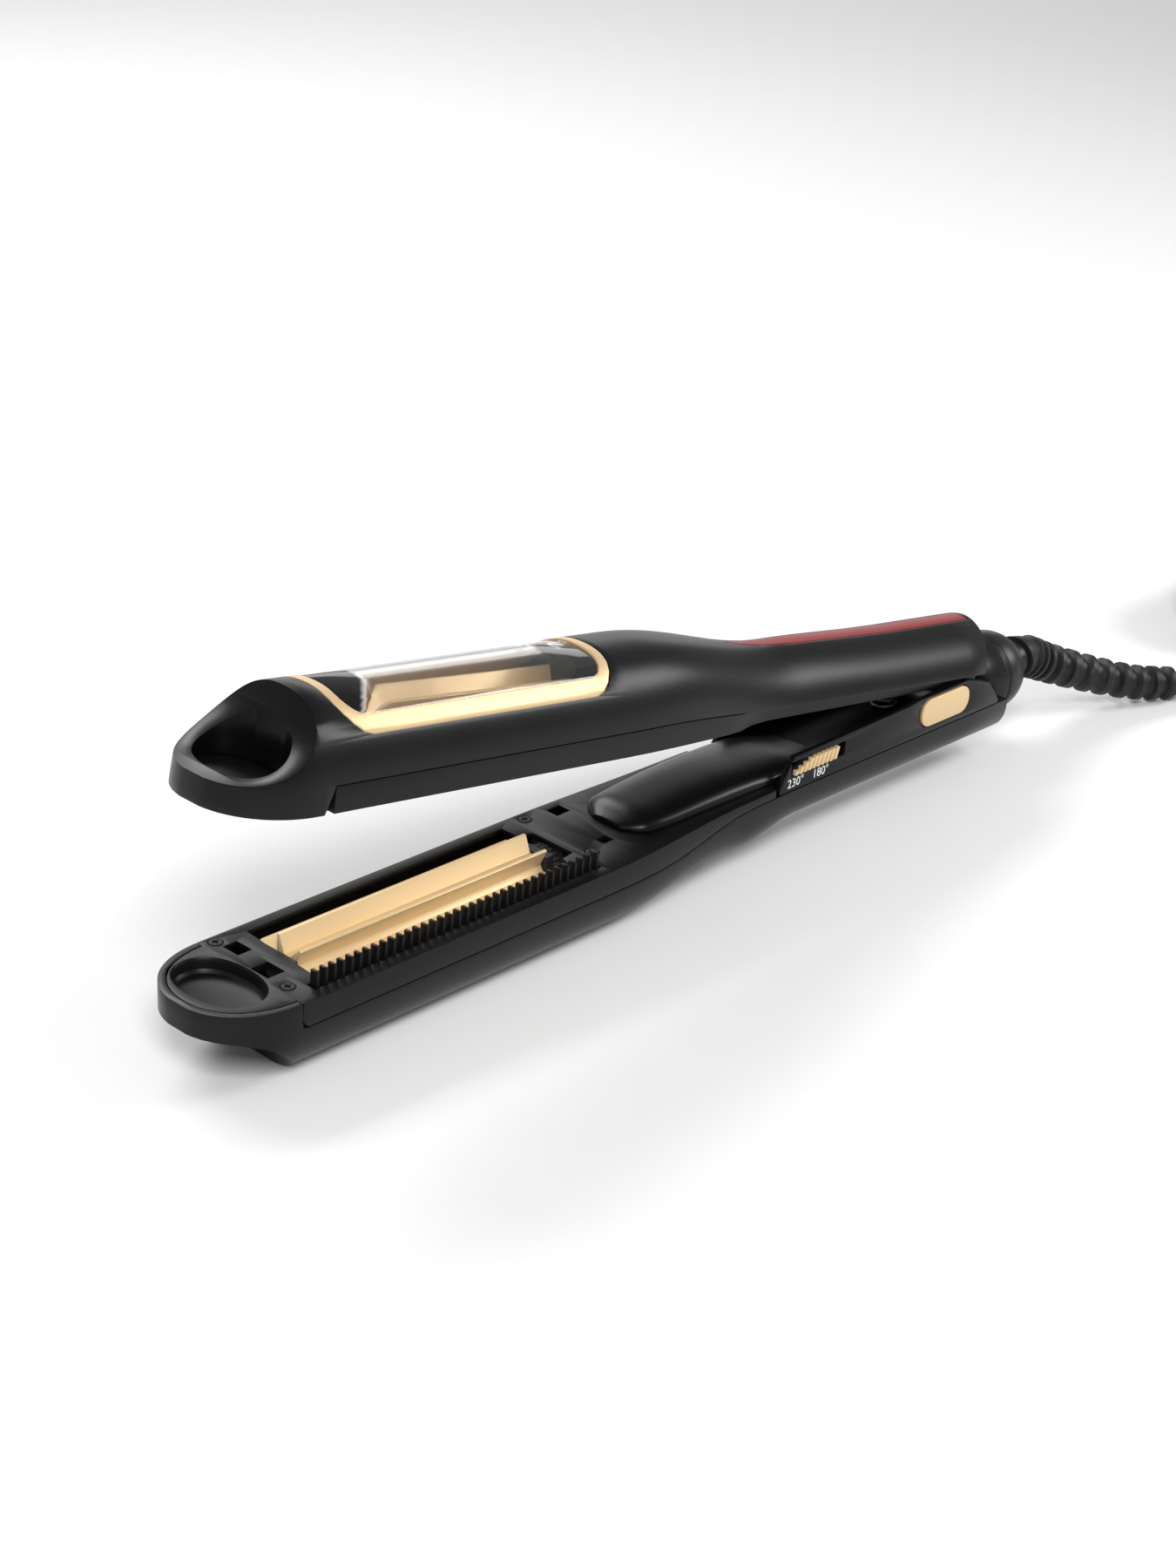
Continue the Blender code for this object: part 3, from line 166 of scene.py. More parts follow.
# Controls on the near side panel.
PANEL_Y = (-0.0152, -0.0135)
PANEL_OUTLINE = (
    (0.1820, -0.0011),
    (0.1820, 0.0006),
    (0.1870, 0.0084),
    (0.2340, 0.0091),
    (0.2380, 0.0097),
    (0.2600, 0.0097),
    (0.2640, 0.0084),
    (0.2700, 0.0062),
    (0.2732, 0.0024),
    (0.2752, -0.0002),
    (0.2750, -0.0011),
)
BUTTON_X = (0.2396, 0.2602)
BUTTON_Z = (0.0010, 0.0088)
BUTTON_ROUND = 0.0035
SLIDER_X = (0.1868, 0.2040)
SLIDER_Z = (0.0034, 0.0066)

# Window in the upper shell.
WINDOW_X = (0.0286, 0.1155)
WINDOW_Y = 0.0143
BEZEL = 0.0026

# Rear ball, strain relief, lead and plug.
BALL_X = 0.2885
BALL_Z = -0.0004
BALL_RADIUS = 0.0115
NECK_END = 0.3030
NECK_RADIUS = 0.0052
CORD_DIAMETER = 0.0065
RELIEF_ROUTE = (
    (0.3034, 0.0, -0.0004),
    (0.3058, 0.0, -0.0004),
    (0.3100, -0.0004, -0.0017),
    (0.3180, -0.0024, -0.0052),
    (0.3310, -0.0082, -0.0100),
    (0.3440, -0.0150, -0.0138),
    (0.3560, -0.0206, -0.0155),
)
CORD_ROUTE = (
    (0.3563, -0.0208, -0.0160),
    (0.3640, -0.0242, -0.0168),
    (0.3730, -0.0267, -0.0169),
    (0.3830, -0.0279, -0.0169),
    (0.3950, -0.0280, -0.0169),
    (0.4064, -0.0280, -0.0169),
)
HANK_X = (0.4000, 0.5560)
HANK_Y = -0.0085
HANK_WIDTH = 0.0455
TAIL_FREE = (0.0226, 0.0600)
TAIL_DROP = 0.0080
PLUG_Y = -0.0110
PLUG_LENGTH = 0.0360
PLUG_WIDTH = 0.0353
PLUG_HEIGHT = 0.0137
PLUG_START = 0.5960

# Fasteners: (station, y) of each screw in an arm.
LOWER_SCREWS = ((0.0237, 0.0155), (0.0228, -0.0099), (0.1209, 0.0150), (0.1209, -0.0078))
UPPER_SCREWS = ((0.0245, 0.0150), (0.0245, -0.0099), (0.1209, 0.0150), (0.1209, -0.0078))
SCREW_HEAD = 0.0016
SCREW_SHANK = 0.0009
SCREW_LENGTH = 0.0045
DECK_SLOTS = (
    ((0.0236, 0.0277), (0.0077, 0.0129)),
    ((0.0218, 0.0268), (-0.0044, 0.0014)),
    ((0.1284, 0.1330), (0.0112, 0.0150)),
    ((0.1262, 0.1298), (-0.0066, -0.0036)),
)

# Radius of the eyes round the hinge pin; the bearing blocks along each arm and the journals in them get no new
# shape here.
LUG_RADIUS = 0.0027

# Slot of the temperature slider, its ribs, and the far panel's shorter foot.
SLIDER_SLOT_X = (0.1860, 0.2075)
SLIDER_SLOT_Z = (0.0031, 0.0069)
RIBS = 10
FAR_SHIFT = 0.0080

# Spring between the arms, and the stripe along the upper arm's crest.
SPRING_X = 0.2430
SPRING_RADIUS = 0.0032
SPRING_WIRE = 0.0008
SPRING_TURNS = 4
SPRING_TOP = 0.0092
STRIPE_X = (0.1700, 0.2712)
STRIPE_WIDTH = 0.0054


NOSE_START = NOSE_LENGTH * (1 - math.cos(math.radians(8.0)))
MIDDLE_X = (NOSE_START + NECK_END) / 2
LOWER = Matrix.Translation((-MIDDLE_X, 0.0, BELLY_DEPTH))
UPPER = (
    LOWER
    @ Matrix.Translation((HINGE_X, 0.0, HINGE_Z))
    @ Matrix.Rotation(OPEN_ANGLE, 4, "Y")
    @ Matrix.Translation((-UPPER_HINGE_X, 0.0, -UPPER_HINGE_Z))
)
lower_arm = LOWER
upper_arm = UPPER
made = {}


def linked(name, data):
    obj = bpy.data.objects.new(name, data)
    bpy.context.scene.collection.objects.link(obj)
    return obj


def finish_piece(name, mesh, arm):
    """A working object in an arm's frame. Pieces that are shown are baked from it."""
    obj = linked(name + "_work", mesh)
    obj.matrix_basis = arm
    made[name] = obj
    return obj


def finish_shape(name, shape, arm):
    mesh = bpy.data.meshes.new(name)
    shape.to_mesh(mesh)
    shape.free()
    return finish_piece(name, mesh, arm)


def boolean(obj, other, operation):
    change = obj.modifiers.new(operation.lower() + "_" + other.name, "BOOLEAN")
    change.operation = operation
    change.solver = "EXACT"
    change.object = other
    return obj


def loft(name, rings, arm):
    """A closed solid through rings of equally many points, with flat ends."""
    shape = bmesh.new()
    loops = [[shape.verts.new(point) for point in ring] for ring in rings]
    count = len(rings[0])
    for first, second in zip(loops, loops[1:]):
        for i in range(count):
            j = (i + 1) % count
            shape.faces.new((first[i], first[j], second[j], second[i]))
    shape.faces.new(list(reversed(loops[0])))
    shape.faces.new(loops[-1])
    bmesh.ops.recalc_face_normals(shape, faces=shape.faces)
    return finish_shape(name, shape, arm)


def arm_stations(start, end):
    """Stations along the straight arm, closer together where it narrows."""
    fixed = [start]
    fixed += [0.045, 0.064, 0.082, 0.100]
    fixed += [0.118 + 0.003 * i for i in range(29)]
    fixed += [0.209, 0.216, 0.225, 0.237, 0.250, 0.262, end]
    return [x for x in fixed if start <= x <= end]


def shell_stations(end):
    return [*nose_stations(), *arm_stations(NOSE_LENGTH, end)]


def place(obj, arm, x, y, z, tilt=0.0):
    """Puts a piece that was made about its own axis into an arm."""
    obj.matrix_basis = arm @ Matrix.Translation((x, y, z)) @ Matrix.Rotation(tilt, 4, "Y")
    return obj


def ball(name, radius, arm):
    """A ball about the cord swivel's axis."""
    shape = bmesh.new()
    bmesh.ops.create_uvsphere(shape, u_segments=64, v_segments=40, radius=radius)
    turn = Matrix.Translation((BALL_X, 0.0, BALL_Z)) @ Matrix.Rotation(math.pi / 2, 4, "Y")
    bmesh.ops.transform(shape, matrix=turn, verts=shape.verts)
    return finish_shape(name, shape, arm)


def cut(obj, *others):
    for other in others:
        boolean(obj, other, "DIFFERENCE")
    return obj


def join(obj, *others):
    for other in others:
        boolean(obj, other, "UNION")
    return obj


def keep_inside(obj, other):
    return boolean(obj, other, "INTERSECT")


def box(name, x, y, z, arm, bevel=0.0):
    shape = bmesh.new()
    bmesh.ops.create_cube(shape, size=1.0)
    size = Matrix.Diagonal((x[1] - x[0], y[1] - y[0], z[1] - z[0], 1.0))
    centre = Vector(((x[0] + x[1]) / 2, (y[0] + y[1]) / 2, (z[0] + z[1]) / 2))
    bmesh.ops.transform(shape, matrix=Matrix.Translation(centre) @ size, verts=shape.verts)
    mesh = bpy.data.meshes.new(name)
    shape.to_mesh(mesh)
    shape.free()
    obj = finish_piece(name, mesh, arm)
    if bevel:
        edge = obj.modifiers.new("bevel", "BEVEL")
        edge.width = bevel
        edge.segments = 2
    return obj


def rod(name, start, end, radius, arm, sides=24):
    """A cylinder from one point to another."""
    start = Vector(start)
    end = Vector(end)
    shape = bmesh.new()
    bmesh.ops.create_cone(
        shape, cap_ends=True, segments=sides, radius1=radius, radius2=radius, depth=(end - start).length
    )
    turn = (end - start).to_track_quat("Z", "Y").to_matrix().to_4x4()
    bmesh.ops.transform(shape, matrix=Matrix.Translation((start + end) / 2) @ turn, verts=shape.verts)
    mesh = bpy.data.meshes.new(name)
    shape.to_mesh(mesh)
    shape.free()
    mesh.shade_smooth()
    mesh.set_sharp_from_angle(angle=math.radians(40))
    return finish_piece(name, mesh, arm)


def plate(name, outline, axis, low, high, arm):
    """An outline drawn square to an axis (y or z) and extruded from low to high along it."""
    if axis == "z":
        rings = [[(u, v, level) for u, v in outline] for level in (low, high)]
    else:
        rings = [[(u, level, v) for u, v in outline] for level in (low, high)]
    return loft(name, rings, arm)


def through(points, steps):
    """Points of a smooth curve through the given ones."""
    given = [Vector(point) for point in points]
    padded = [2 * given[0] - given[1], *given, 2 * given[-1] - given[-2]]
    made = []
    for a, b, c, d in zip(padded, padded[1:], padded[2:], padded[3:]):
        for i in range(steps):
            t = i / steps
            made.append(
                0.5 * (
                    2 * b + (c - a) * t + (2 * a - 5 * b + 4 * c - d) * t**2 + (3 * b - a - 3 * c + d) * t**3
                )
            )
    made.append(given[-1])
    return made


def rounded(x, y, radius, sides=5):
    """A rectangle's outline with rounded corners."""
    corners = (
        (x[1] - radius, y[1] - radius, 0),
        (x[0] + radius, y[1] - radius, 90),
        (x[0] + radius, y[0] + radius, 180),
        (x[1] - radius, y[0] + radius, 270),
    )
    points = []
    for centre_x, centre_y, start in corners:
        for i in range(sides + 1):
            angle = math.radians(start + 90 * i / sides)
            point = (centre_x + radius * math.cos(angle), centre_y + radius * math.sin(angle))
            if not points or math.dist(point, points[-1]) > 1e-5:
                points.append(point)
    if math.dist(points[0], points[-1]) < 1e-5:
        points.pop()
    return points


def oval(x, y, length, width, sides=64):
    """An oval with slightly squared sides."""
    points = []
    for i in range(sides):
        angle = 2 * math.pi * i / sides
        across = math.copysign(abs(math.sin(angle)) ** 0.9, math.sin(angle))
        along = math.copysign(abs(math.cos(angle)) ** 0.9, math.cos(angle))
        points.append((x + along * length / 2, y + across * width / 2))
    return points


def value(profile, x):
    """A profile's value at x: level outside its stations, eased between them."""
    if x <= profile[0][0]:
        return profile[0][1]
    for (a, low), (b, high) in zip(profile, profile[1:]):
        if x <= b:
            ease = (1 - math.cos(math.pi * (x - a) / (b - a))) / 2
            return low + (high - low) * ease
    return profile[-1][1]


def half_width(profile, x):
    """Half the arm's width, rounded off as a full half oval at the nose."""
    if x >= NOSE_LENGTH:
        return value(profile, x)
    share = (NOSE_LENGTH - x) / NOSE_LENGTH
    return profile[0][1] * max(0.0, 1 - share**NOSE_ROUND) ** (1 / NOSE_ROUND)


def nose_stations(start_angle=8.0, steps=16):
    angles = (math.radians(start_angle + (90 - start_angle) * i / steps) for i in range(steps))
    return [NOSE_LENGTH * (1 - math.cos(angle)) for angle in angles]


def arm_arc(x, widths, depths, roundness, inset=0.0, count=56):
    """(y, depth) of an arm's outer section from one side round to the other."""
    width = half_width(widths, x) - inset
    depth = value(depths, x) - inset
    power = 2 / value(roundness, x)
    points = []
    for i in range(count + 1):
        angle = math.pi * i / count
        across = math.copysign(abs(math.cos(angle)) ** power, math.cos(angle))
        points.append((width * across, depth * math.sin(angle) ** power))
    return points


def side_y(x, level, widths, depths, roundness, inset=0.0):
    """The section's half width at a level away from the inner face."""
    width = half_width(widths, x) - inset
    depth = value(depths, x) - inset
    power = value(roundness, x)
    return width * max(0.0, 1 - (level / depth) ** power) ** (1 / power)


def lower_ring(x, inset=0.0, top=0.0, floor=BELLY_DEPTH):
    arc = arm_arc(x, LOWER_WIDTH, LOWER_DEPTH, LOWER_ROUND, inset)
    ring = [(x, y, -min(depth, floor - inset)) for y, depth in arc]
    ring[0] = (x, arc[0][0], top)
    ring[-1] = (x, arc[-1][0], top)
    return ring


def upper_ring(x, inset=0.0, bottom=0.0):
    arc = arm_arc(x, UPPER_WIDTH, UPPER_DEPTH, UPPER_ROUND, inset)
    ring = [(x, y, depth) for y, depth in arc]
    ring[0] = (x, arc[0][0], bottom)
    ring[-1] = (x, arc[-1][0], bottom)
    return ring


def nose_plate_outline(inset, end):
    """The nose's rounded outline, set in from the rim, with a square rear end."""
    half = LOWER_WIDTH[0][1] - inset
    front = []
    for i in range(49):
        angle = math.radians(90 - 180 * i / 48)
        share = math.cos(angle)
        across = max(0.0, 1 - share**NOSE_ROUND) ** (1 / NOSE_ROUND)
        front.append((NOSE_LENGTH - (NOSE_LENGTH - inset) * share, math.copysign(half * across, angle)))
    return [(end, half), *front, (end, -half)]


def scoop_cutter(name, arm, side):
    """The slanted hollow at the outside of a nose, and the oval cup that sinks into it."""
    profile = []
    for i in range(33):
        angle = math.radians(90 * i / 32)
        along = SCOOP_LENGTH * math.sin(angle)
        level = SCOOP_TOP - SCOOP_HEIGHT * math.cos(angle)
        profile.append((along, side * level))
    low = SCOOP_TOP - SCOOP_HEIGHT
    outline = [(-0.006, side * 0.030), (-0.006, side * low), *profile, (SCOOP_LENGTH, side * 0.030)]
    scoop = plate(name, outline, "y", -0.025, 0.025, arm)
    levels = sorted((side * (CUP_FLOOR + WEB), side * 0.026))
    cup = plate(name + "_cup", oval(CUP_X, 0.0, CUP_LENGTH, CUP_WIDTH), "z", *levels, arm)
    return scoop, cup


def plug_rings():
    """Sections of the plug from its cord end to its face."""
    rings = []
    for along, width, height in (
        (0.0, 0.30, 0.62),
        (0.10, 0.36, 0.78),
        (0.32, 0.60, 0.94),
        (0.62, 0.98, 1.0),
        (0.97, 1.0, 1.0),
        (1.0, 0.96, 0.93),
    ):
        x = PLUG_START + PLUG_LENGTH * along
        outline = rounded(
            (PLUG_Y - PLUG_WIDTH * width / 2, PLUG_Y + PLUG_WIDTH * width / 2),
            (-BELLY_DEPTH + 0.0001, -BELLY_DEPTH + 0.0001 + PLUG_HEIGHT * height),
            PLUG_HEIGHT * 0.28,
            3,
        )
        rings.append([(x, y, z) for y, z in outline])
    return rings


def tail_point(along):
    """A point of the lead's last stretch: off the hank's top layer, down and across to the plug."""
    across = (1 - math.cos(math.pi * along / TAIL_FREE[1])) / 2
    fall = max(0.0, along - TAIL_DROP) / (TAIL_FREE[1] - TAIL_DROP)
    down = (1 - math.cos(math.pi * fall)) / 2
    start = Vector((HANK_X[1] - HANK_WIDTH / 2, HANK_Y - HANK_WIDTH / 2 + CORD_DIAMETER / 2))
    top = -BELLY_DEPTH + 0.0001 + CORD_DIAMETER * 2.5
    rest = -BELLY_DEPTH + 0.0001 + PLUG_HEIGHT * 0.31
    return (start.x + along, start.y + (PLUG_Y - start.y) * across, top + (rest - top) * down)


def build_lower_shell():
    stations = shell_stations(LOWER_END)
    shell = loft("lower_shell", [lower_ring(x) for x in stations], lower_arm)
    inside = arm_stations(0.0240, 0.2719)
    cavity = loft("lower_cavity", [lower_ring(x, WALL, 0.001) for x in inside], lower_arm)
    levels = [0.128, 0.135, 0.145, 0.155, 0.165, 0.174]
    seam = [(x, -value(LOWER_PARTING, x)) for x in levels]
    outline = [
        (BAND_START, 0.006),
        (BAND_START, -0.0048),
        (BAND_START + 0.0004, -0.0060),
        (BAND_START + 0.0016, -0.0064),
        *seam,
        (0.290, seam[-1][1]),
        (0.290, 0.006),
    ]
    band = plate("lower_band", outline, "y", -0.025, 0.025, lower_arm)
    seat = nose_seat("lower_seat", lower_arm, -1)
    socket = ball("ball_socket", BALL_RADIUS + 0.0006, lower_arm)
    spindle = rod("spindle_hole", (0.266, 0.0, BALL_Z), (0.290, 0.0, BALL_Z), 0.0038, lower_arm)
    cut(shell, cavity, band, seat, *scoop_cutter("lower_scoop", lower_arm, -1), socket, spindle)
    for i, (x, y) in enumerate(LOWER_SCREWS[:2]):
        hole = rod("lower_boss_%d" % i, (x, y, -0.010), (x, y, 0.001), SCREW_SHANK + GAP, lower_arm, sides=12)
        cut(shell, hole)


def nose_seat(name, arm, side):
    """Room in a nose for its inner plate and the boss of its cup."""
    levels = sorted((side * 0.0023, -side * 0.004))
    seat = plate(name, nose_plate_outline(RIM, 0.0265), "z", *levels, arm)
    boss = oval(CUP_X, CUP_Y, CUP_LENGTH + 0.0030, CUP_WIDTH + 0.0026)
    levels = sorted((side * (CUP_FLOOR + WEB), -side * 0.001))
    return join(seat, plate(name + "_boss", boss, "z", *levels, arm))


def deck_rings(stations, outline, parting, deck_level, side):
    """Sections of an inner frame: a deck with a skirt down each side."""
    rings = []
    for x in stations:
        half, half_edge, edge = outline(x)
        level = deck_level(x)
        skirt = [(half, level), (half_edge, parting(x)), (half_edge - SKIRT, parting(x))]
        near = [(edge, level + side * DECK)]
        near_ring = [*skirt, *near]
        far_ring = [(-y, z) for y, z in reversed(near_ring)]
        rings.append([(x, y, z) for y, z in [*near_ring, *far_ring]])
    return rings


def lower_top(x):
    return value(((0.118, 0.0), (0.172, 0.0009)), x)


def build_lower_frame():
    def outline(x):
        widths = (LOWER_WIDTH, LOWER_DEPTH, LOWER_ROUND)
        limit = value(((0.1795, 0.018), (0.1815, CHEEK - GAP)), x)
        level = value(LOWER_PARTING, x)
        half = min(side_y(x, 0.0, *widths), limit)
        half_edge = min(side_y(x, level, *widths), limit)
        return half, half_edge, half_edge - SKIRT

    def parting(x):
        corner = max(0.0, 0.0216 + GAP - x) * 1.1
        return -value(LOWER_PARTING, x) + GAP + corner

    stations = [BAND_START + GAP, 0.0219, 0.070, 0.118, 0.127, 0.135, 0.143, 0.151, 0.158, 0.166, 0.174]
    stations += [0.1795, 0.1805, 0.1815, DECK_END]
    rings = deck_rings(stations, outline, parting, lower_top, -1)
    frame = loft("lower_inner_frame", rings, lower_arm)
    join(frame, nose_plate("lower_nose_plate", lower_arm, -1))
    for side in (1, -1):
        post = hinge_lug(
            "lower_post_%d" % side, side * 0.0065, side * 0.0095, HINGE_X, HINGE_Z, -0.0010, lower_arm
        )
        join(frame, post)
    opening = plate("lower_opening", OPENING, "z", -0.010, 0.010, lower_arm)
    slot = box("comb_slot", (0.0264, 0.1171), (-0.0146, -0.0118), (-0.010, 0.010), lower_arm)
    motor = box("motor_clearance", (0.1388, 0.1710), (-0.0082, 0.0082), (-0.010, 0.010), lower_arm)
    cut(frame, opening, slot, motor, cup_hollow("lower_cup", lower_arm, -1))
    for number, (x, y) in enumerate(DECK_SLOTS):
        slot = box("deck_slot_%d" % number, x, y, (-0.0040, 0.010), lower_arm)
        cut(frame, slot)
    screw_holes(frame, "lower", LOWER_SCREWS, lower_arm, -1)
    cut(
        frame,
        rod("pin_hole", (HINGE_X, -0.02, HINGE_Z), (HINGE_X, 0.02, HINGE_Z), PIN_RADIUS + GAP, lower_arm),
    )


def nose_plate(name, arm, side):
    levels = sorted((side * 0.0020, 0.0))
    made = plate(name, nose_plate_outline(RIM + GAP, 0.0262), "z", *levels, arm)
    boss = oval(CUP_X, CUP_Y, CUP_LENGTH + 0.0024, CUP_WIDTH + 0.0020)
    levels = sorted((side * (CUP_FLOOR + WEB - GAP), side * 0.0010))
    return join(made, plate(name + "_boss", boss, "z", *levels, arm))


def cup_hollow(name, arm, side):
    """The oval cup sunk into a nose plate, with a rounded rim."""
    rings = []
    for depth, grow in (
        (0.0015, 0.0018), (0.0, 0.0010), (-0.0009, 0.0002), (-0.0026, -0.0002), (-CUP_FLOOR, -0.0016)
    ):
        outline = oval(CUP_X, CUP_Y, CUP_LENGTH + grow, CUP_WIDTH + grow)
        rings.append([(x, y, -side * depth) for x, y in outline])
    return loft(name, rings, arm)


def hinge_lug(name, inner, outer, x, z, base, arm):
    """An eye round the hinge pin with a straight foot towards its deck."""
    sign = 1 if base > z else -1
    outline = []
    for i in range(13):
        angle = math.radians(180 * i / 12)
        outline.append((x + LUG_RADIUS * math.cos(angle), z - sign * LUG_RADIUS * math.sin(angle)))
    outline = [(x + LUG_RADIUS, base), *outline, (x - LUG_RADIUS, base)]
    return plate(name, outline, "y", *sorted((inner, outer)), arm)


def screw_holes(frame, prefix, places, arm, side):
    for number, (x, y) in enumerate(places):
        sink = rod(
            "%s_sink_%d" % (prefix, number), (x, y, side * 0.0005), (x, y, -side * 0.003), 0.0019, arm, sides=16
        )
        hole = rod(
            "%s_hole_%d" % (prefix, number),
            (x, y, side * 0.008),
            (x, y, -side * 0.003),
            SCREW_SHANK + GAP,
            arm,
            sides=12,
        )
        cut(frame, join(sink, hole))


def build_comb():
    pitch = (COMB_X[1] - COMB_X[0] - TOOTH_WIDTH) / (TEETH - 1)
    outline = [(COMB_X[0], -0.0045), (COMB_X[0], COMB_BASE)]
    for number in range(TEETH):
        x = COMB_X[0] + pitch * number
        foot = 0.0 if number in (0, TEETH - 1) else 0.0001
        outline += [
            (x + foot, COMB_BASE),
            (x + 0.00015, TOOTH_TOP),
            (x + TOOTH_WIDTH - 0.00015, TOOTH_TOP),
            (x + TOOTH_WIDTH - foot, COMB_BASE),
        ]
    outline += [(COMB_X[1], COMB_BASE), (COMB_X[1], -0.0045)]
    cleaned = [point for i, point in enumerate(outline) if i == 0 or math.dist(point, outline[i - 1]) > 1e-6]
    plate("guide_comb", cleaned, "y", *COMB_Y, lower_arm)


def cover_ring(x, inset):
    """An arch over the motor, springing from the deck."""
    base = lower_top(x) + GAP
    half = value_straight(COVER_WIDTH, x) - inset
    height = value(COVER_HEIGHT, x) - inset
    ring = []
    for i in range(15):
        angle = math.pi * i / 14
        across = math.copysign(abs(math.cos(angle)) ** 0.8, math.cos(angle))
        ring.append((x, half * across, base + height * math.sin(angle) ** 0.7))
    if inset:
        ring = [ring[0][:2] + (base - 0.001,), *ring, ring[-1][:2] + (base - 0.001,)]
    return ring


def value_straight(profile, x):
    """A profile's value at x with straight steps between its stations."""
    for (a, low), (b, high) in zip(profile, profile[1:]):
        if x <= b:
            return low + (high - low) * (x - a) / (b - a)
    return profile[-1][1]


def build_motor_cover():
    stations = [0.1340, 0.1352, 0.1366, 0.1390, 0.1430, 0.1475, 0.158, 0.168, 0.176, 0.1826, 0.190, 0.1964]
    stations += [0.2000, 0.2030, 0.2050]
    cover = loft("motor_cover", [cover_ring(x, 0.0) for x in stations], lower_arm)
    inside = [0.1375, 0.1390, 0.1475, 0.158, 0.168, 0.176]
    cavity = loft("cover_cavity", [cover_ring(x, 0.0012) for x in inside], lower_arm)
    cut(cover, cavity)


def star_outline(phase):
    outline = []
    for vane in range(VANES):
        tip = phase + 2 * math.pi * vane / VANES
        half = TIP_FLAT / TIP_RADIUS
        for angle, radius in (
            (tip - half, TIP_RADIUS),
            (tip + half, TIP_RADIUS),
            (tip + math.pi / VANES - 0.16, VALLEY_RADIUS + 0.0002),
            (tip + math.pi / VANES + 0.16, VALLEY_RADIUS + 0.0002),
        ):
            outline.append((radius * math.cos(angle), radius * math.sin(angle)))
    return outline


def build_roller(name, arm, z, phase, tilt):
    """A star roller about its own axis, hollow for the heater, with a trunnion at each end."""
    middle = (ROLLER_START + ROLLER_END) / 2
    half = (ROLLER_END - ROLLER_START) / 2
    rings = [[(x, y, up) for y, up in star_outline(phase)] for x in (-half, half)]
    roller = loft(name, rings, arm)
    front = rod(name + "_front", (-half - 0.0030, 0, 0), (-half + 0.002, 0, 0), TRUNNION_RADIUS, arm)
    rear = rod(name + "_rear", (half - 0.002, 0, 0), (half + 0.0058, 0, 0), TRUNNION_RADIUS, arm)
    bore = rod(name + "_bore", (-half - 0.01, 0, 0), (half + 0.01, 0, 0), ROLLER_BORE, arm)
    join(roller, front, rear)
    cut(roller, bore)
    for piece in (roller, front, rear, bore):
        place(piece, arm, middle, ROLLER_Y, z, tilt)


def build_panels():
    near = plate("control_panel", PANEL_OUTLINE, "y", *PANEL_Y, lower_arm)
    hole = rounded(
        (BUTTON_X[0] - GAP, BUTTON_X[1] + GAP), (BUTTON_Z[0] - GAP, BUTTON_Z[1] + GAP), BUTTON_ROUND + GAP
    )
    cut(near, plate("button_hole", hole, "y", -0.020, -0.010, lower_arm))
    slide = box("slider_slot", SLIDER_SLOT_X, (-0.020, -0.010), SLIDER_SLOT_Z, lower_arm)
    cut(near, slide)
    far = [(x + FAR_SHIFT if x < 0.19 else x, z) for x, z in PANEL_OUTLINE]
    plate("side_panel", far, "y", *sorted((-PANEL_Y[0], -PANEL_Y[1])), lower_arm)


def build_button():
    cap = plate(
        "power_button", rounded(BUTTON_X, BUTTON_Z, BUTTON_ROUND), "y", -0.0157, -0.0145, lower_arm
    )
    stem = box("button_stem", (0.2460, 0.2520), (-0.0150, -0.01355), (0.0020, 0.0042), lower_arm)
    join(cap, stem)


def upper_solid(name, inset, end, start=None):
    """The upper arm's outside, or a skin that lies inside it."""
    if start is None:
        stations = shell_stations(end)
    else:
        stations = arm_stations(start, end)
    bottom = -0.002 if inset else 0.0
    return loft(name, [upper_ring(x, inset, bottom) for x in stations], upper_arm)


def window_outline(grow):
    corner = 0.0080 + grow
    x = (WINDOW_X[0] - grow, WINDOW_X[1] + grow)
    return rounded(x, (-WINDOW_Y - grow, WINDOW_Y + grow), corner, 5)


def crest(x, y):
    """Height of the upper arm's outside at a point in plan."""
    width = half_width(UPPER_WIDTH, x)
    power = value(UPPER_ROUND, x)
    return value(UPPER_DEPTH, x) * (1 - min(1.0, abs(y) / width) ** power) ** (1 / power)


def stripe_band(name, grow, low, high):
    """A strip along the crest that tapers to a point at its front, between two heights off the surface."""
    rings = []
    for share in (0.0, 0.04, 0.12, 0.25, 0.45, 0.65, 0.85, 1.0):
        x = STRIPE_X[0] - grow + (STRIPE_X[1] - STRIPE_X[0] + 2 * grow) * share
        half = STRIPE_WIDTH / 2 * min(1.0, 0.12 + (share / 0.25) ** 0.7 * 0.88) + grow
        across = [half * (k / 3 - 1) for k in range(7)]
        top = [(x, y, crest(x, y) + high) for y in across]
        rings.append(top + [(x, y, crest(x, y) + low) for y in reversed(across)])
    return loft(name, rings, upper_arm)


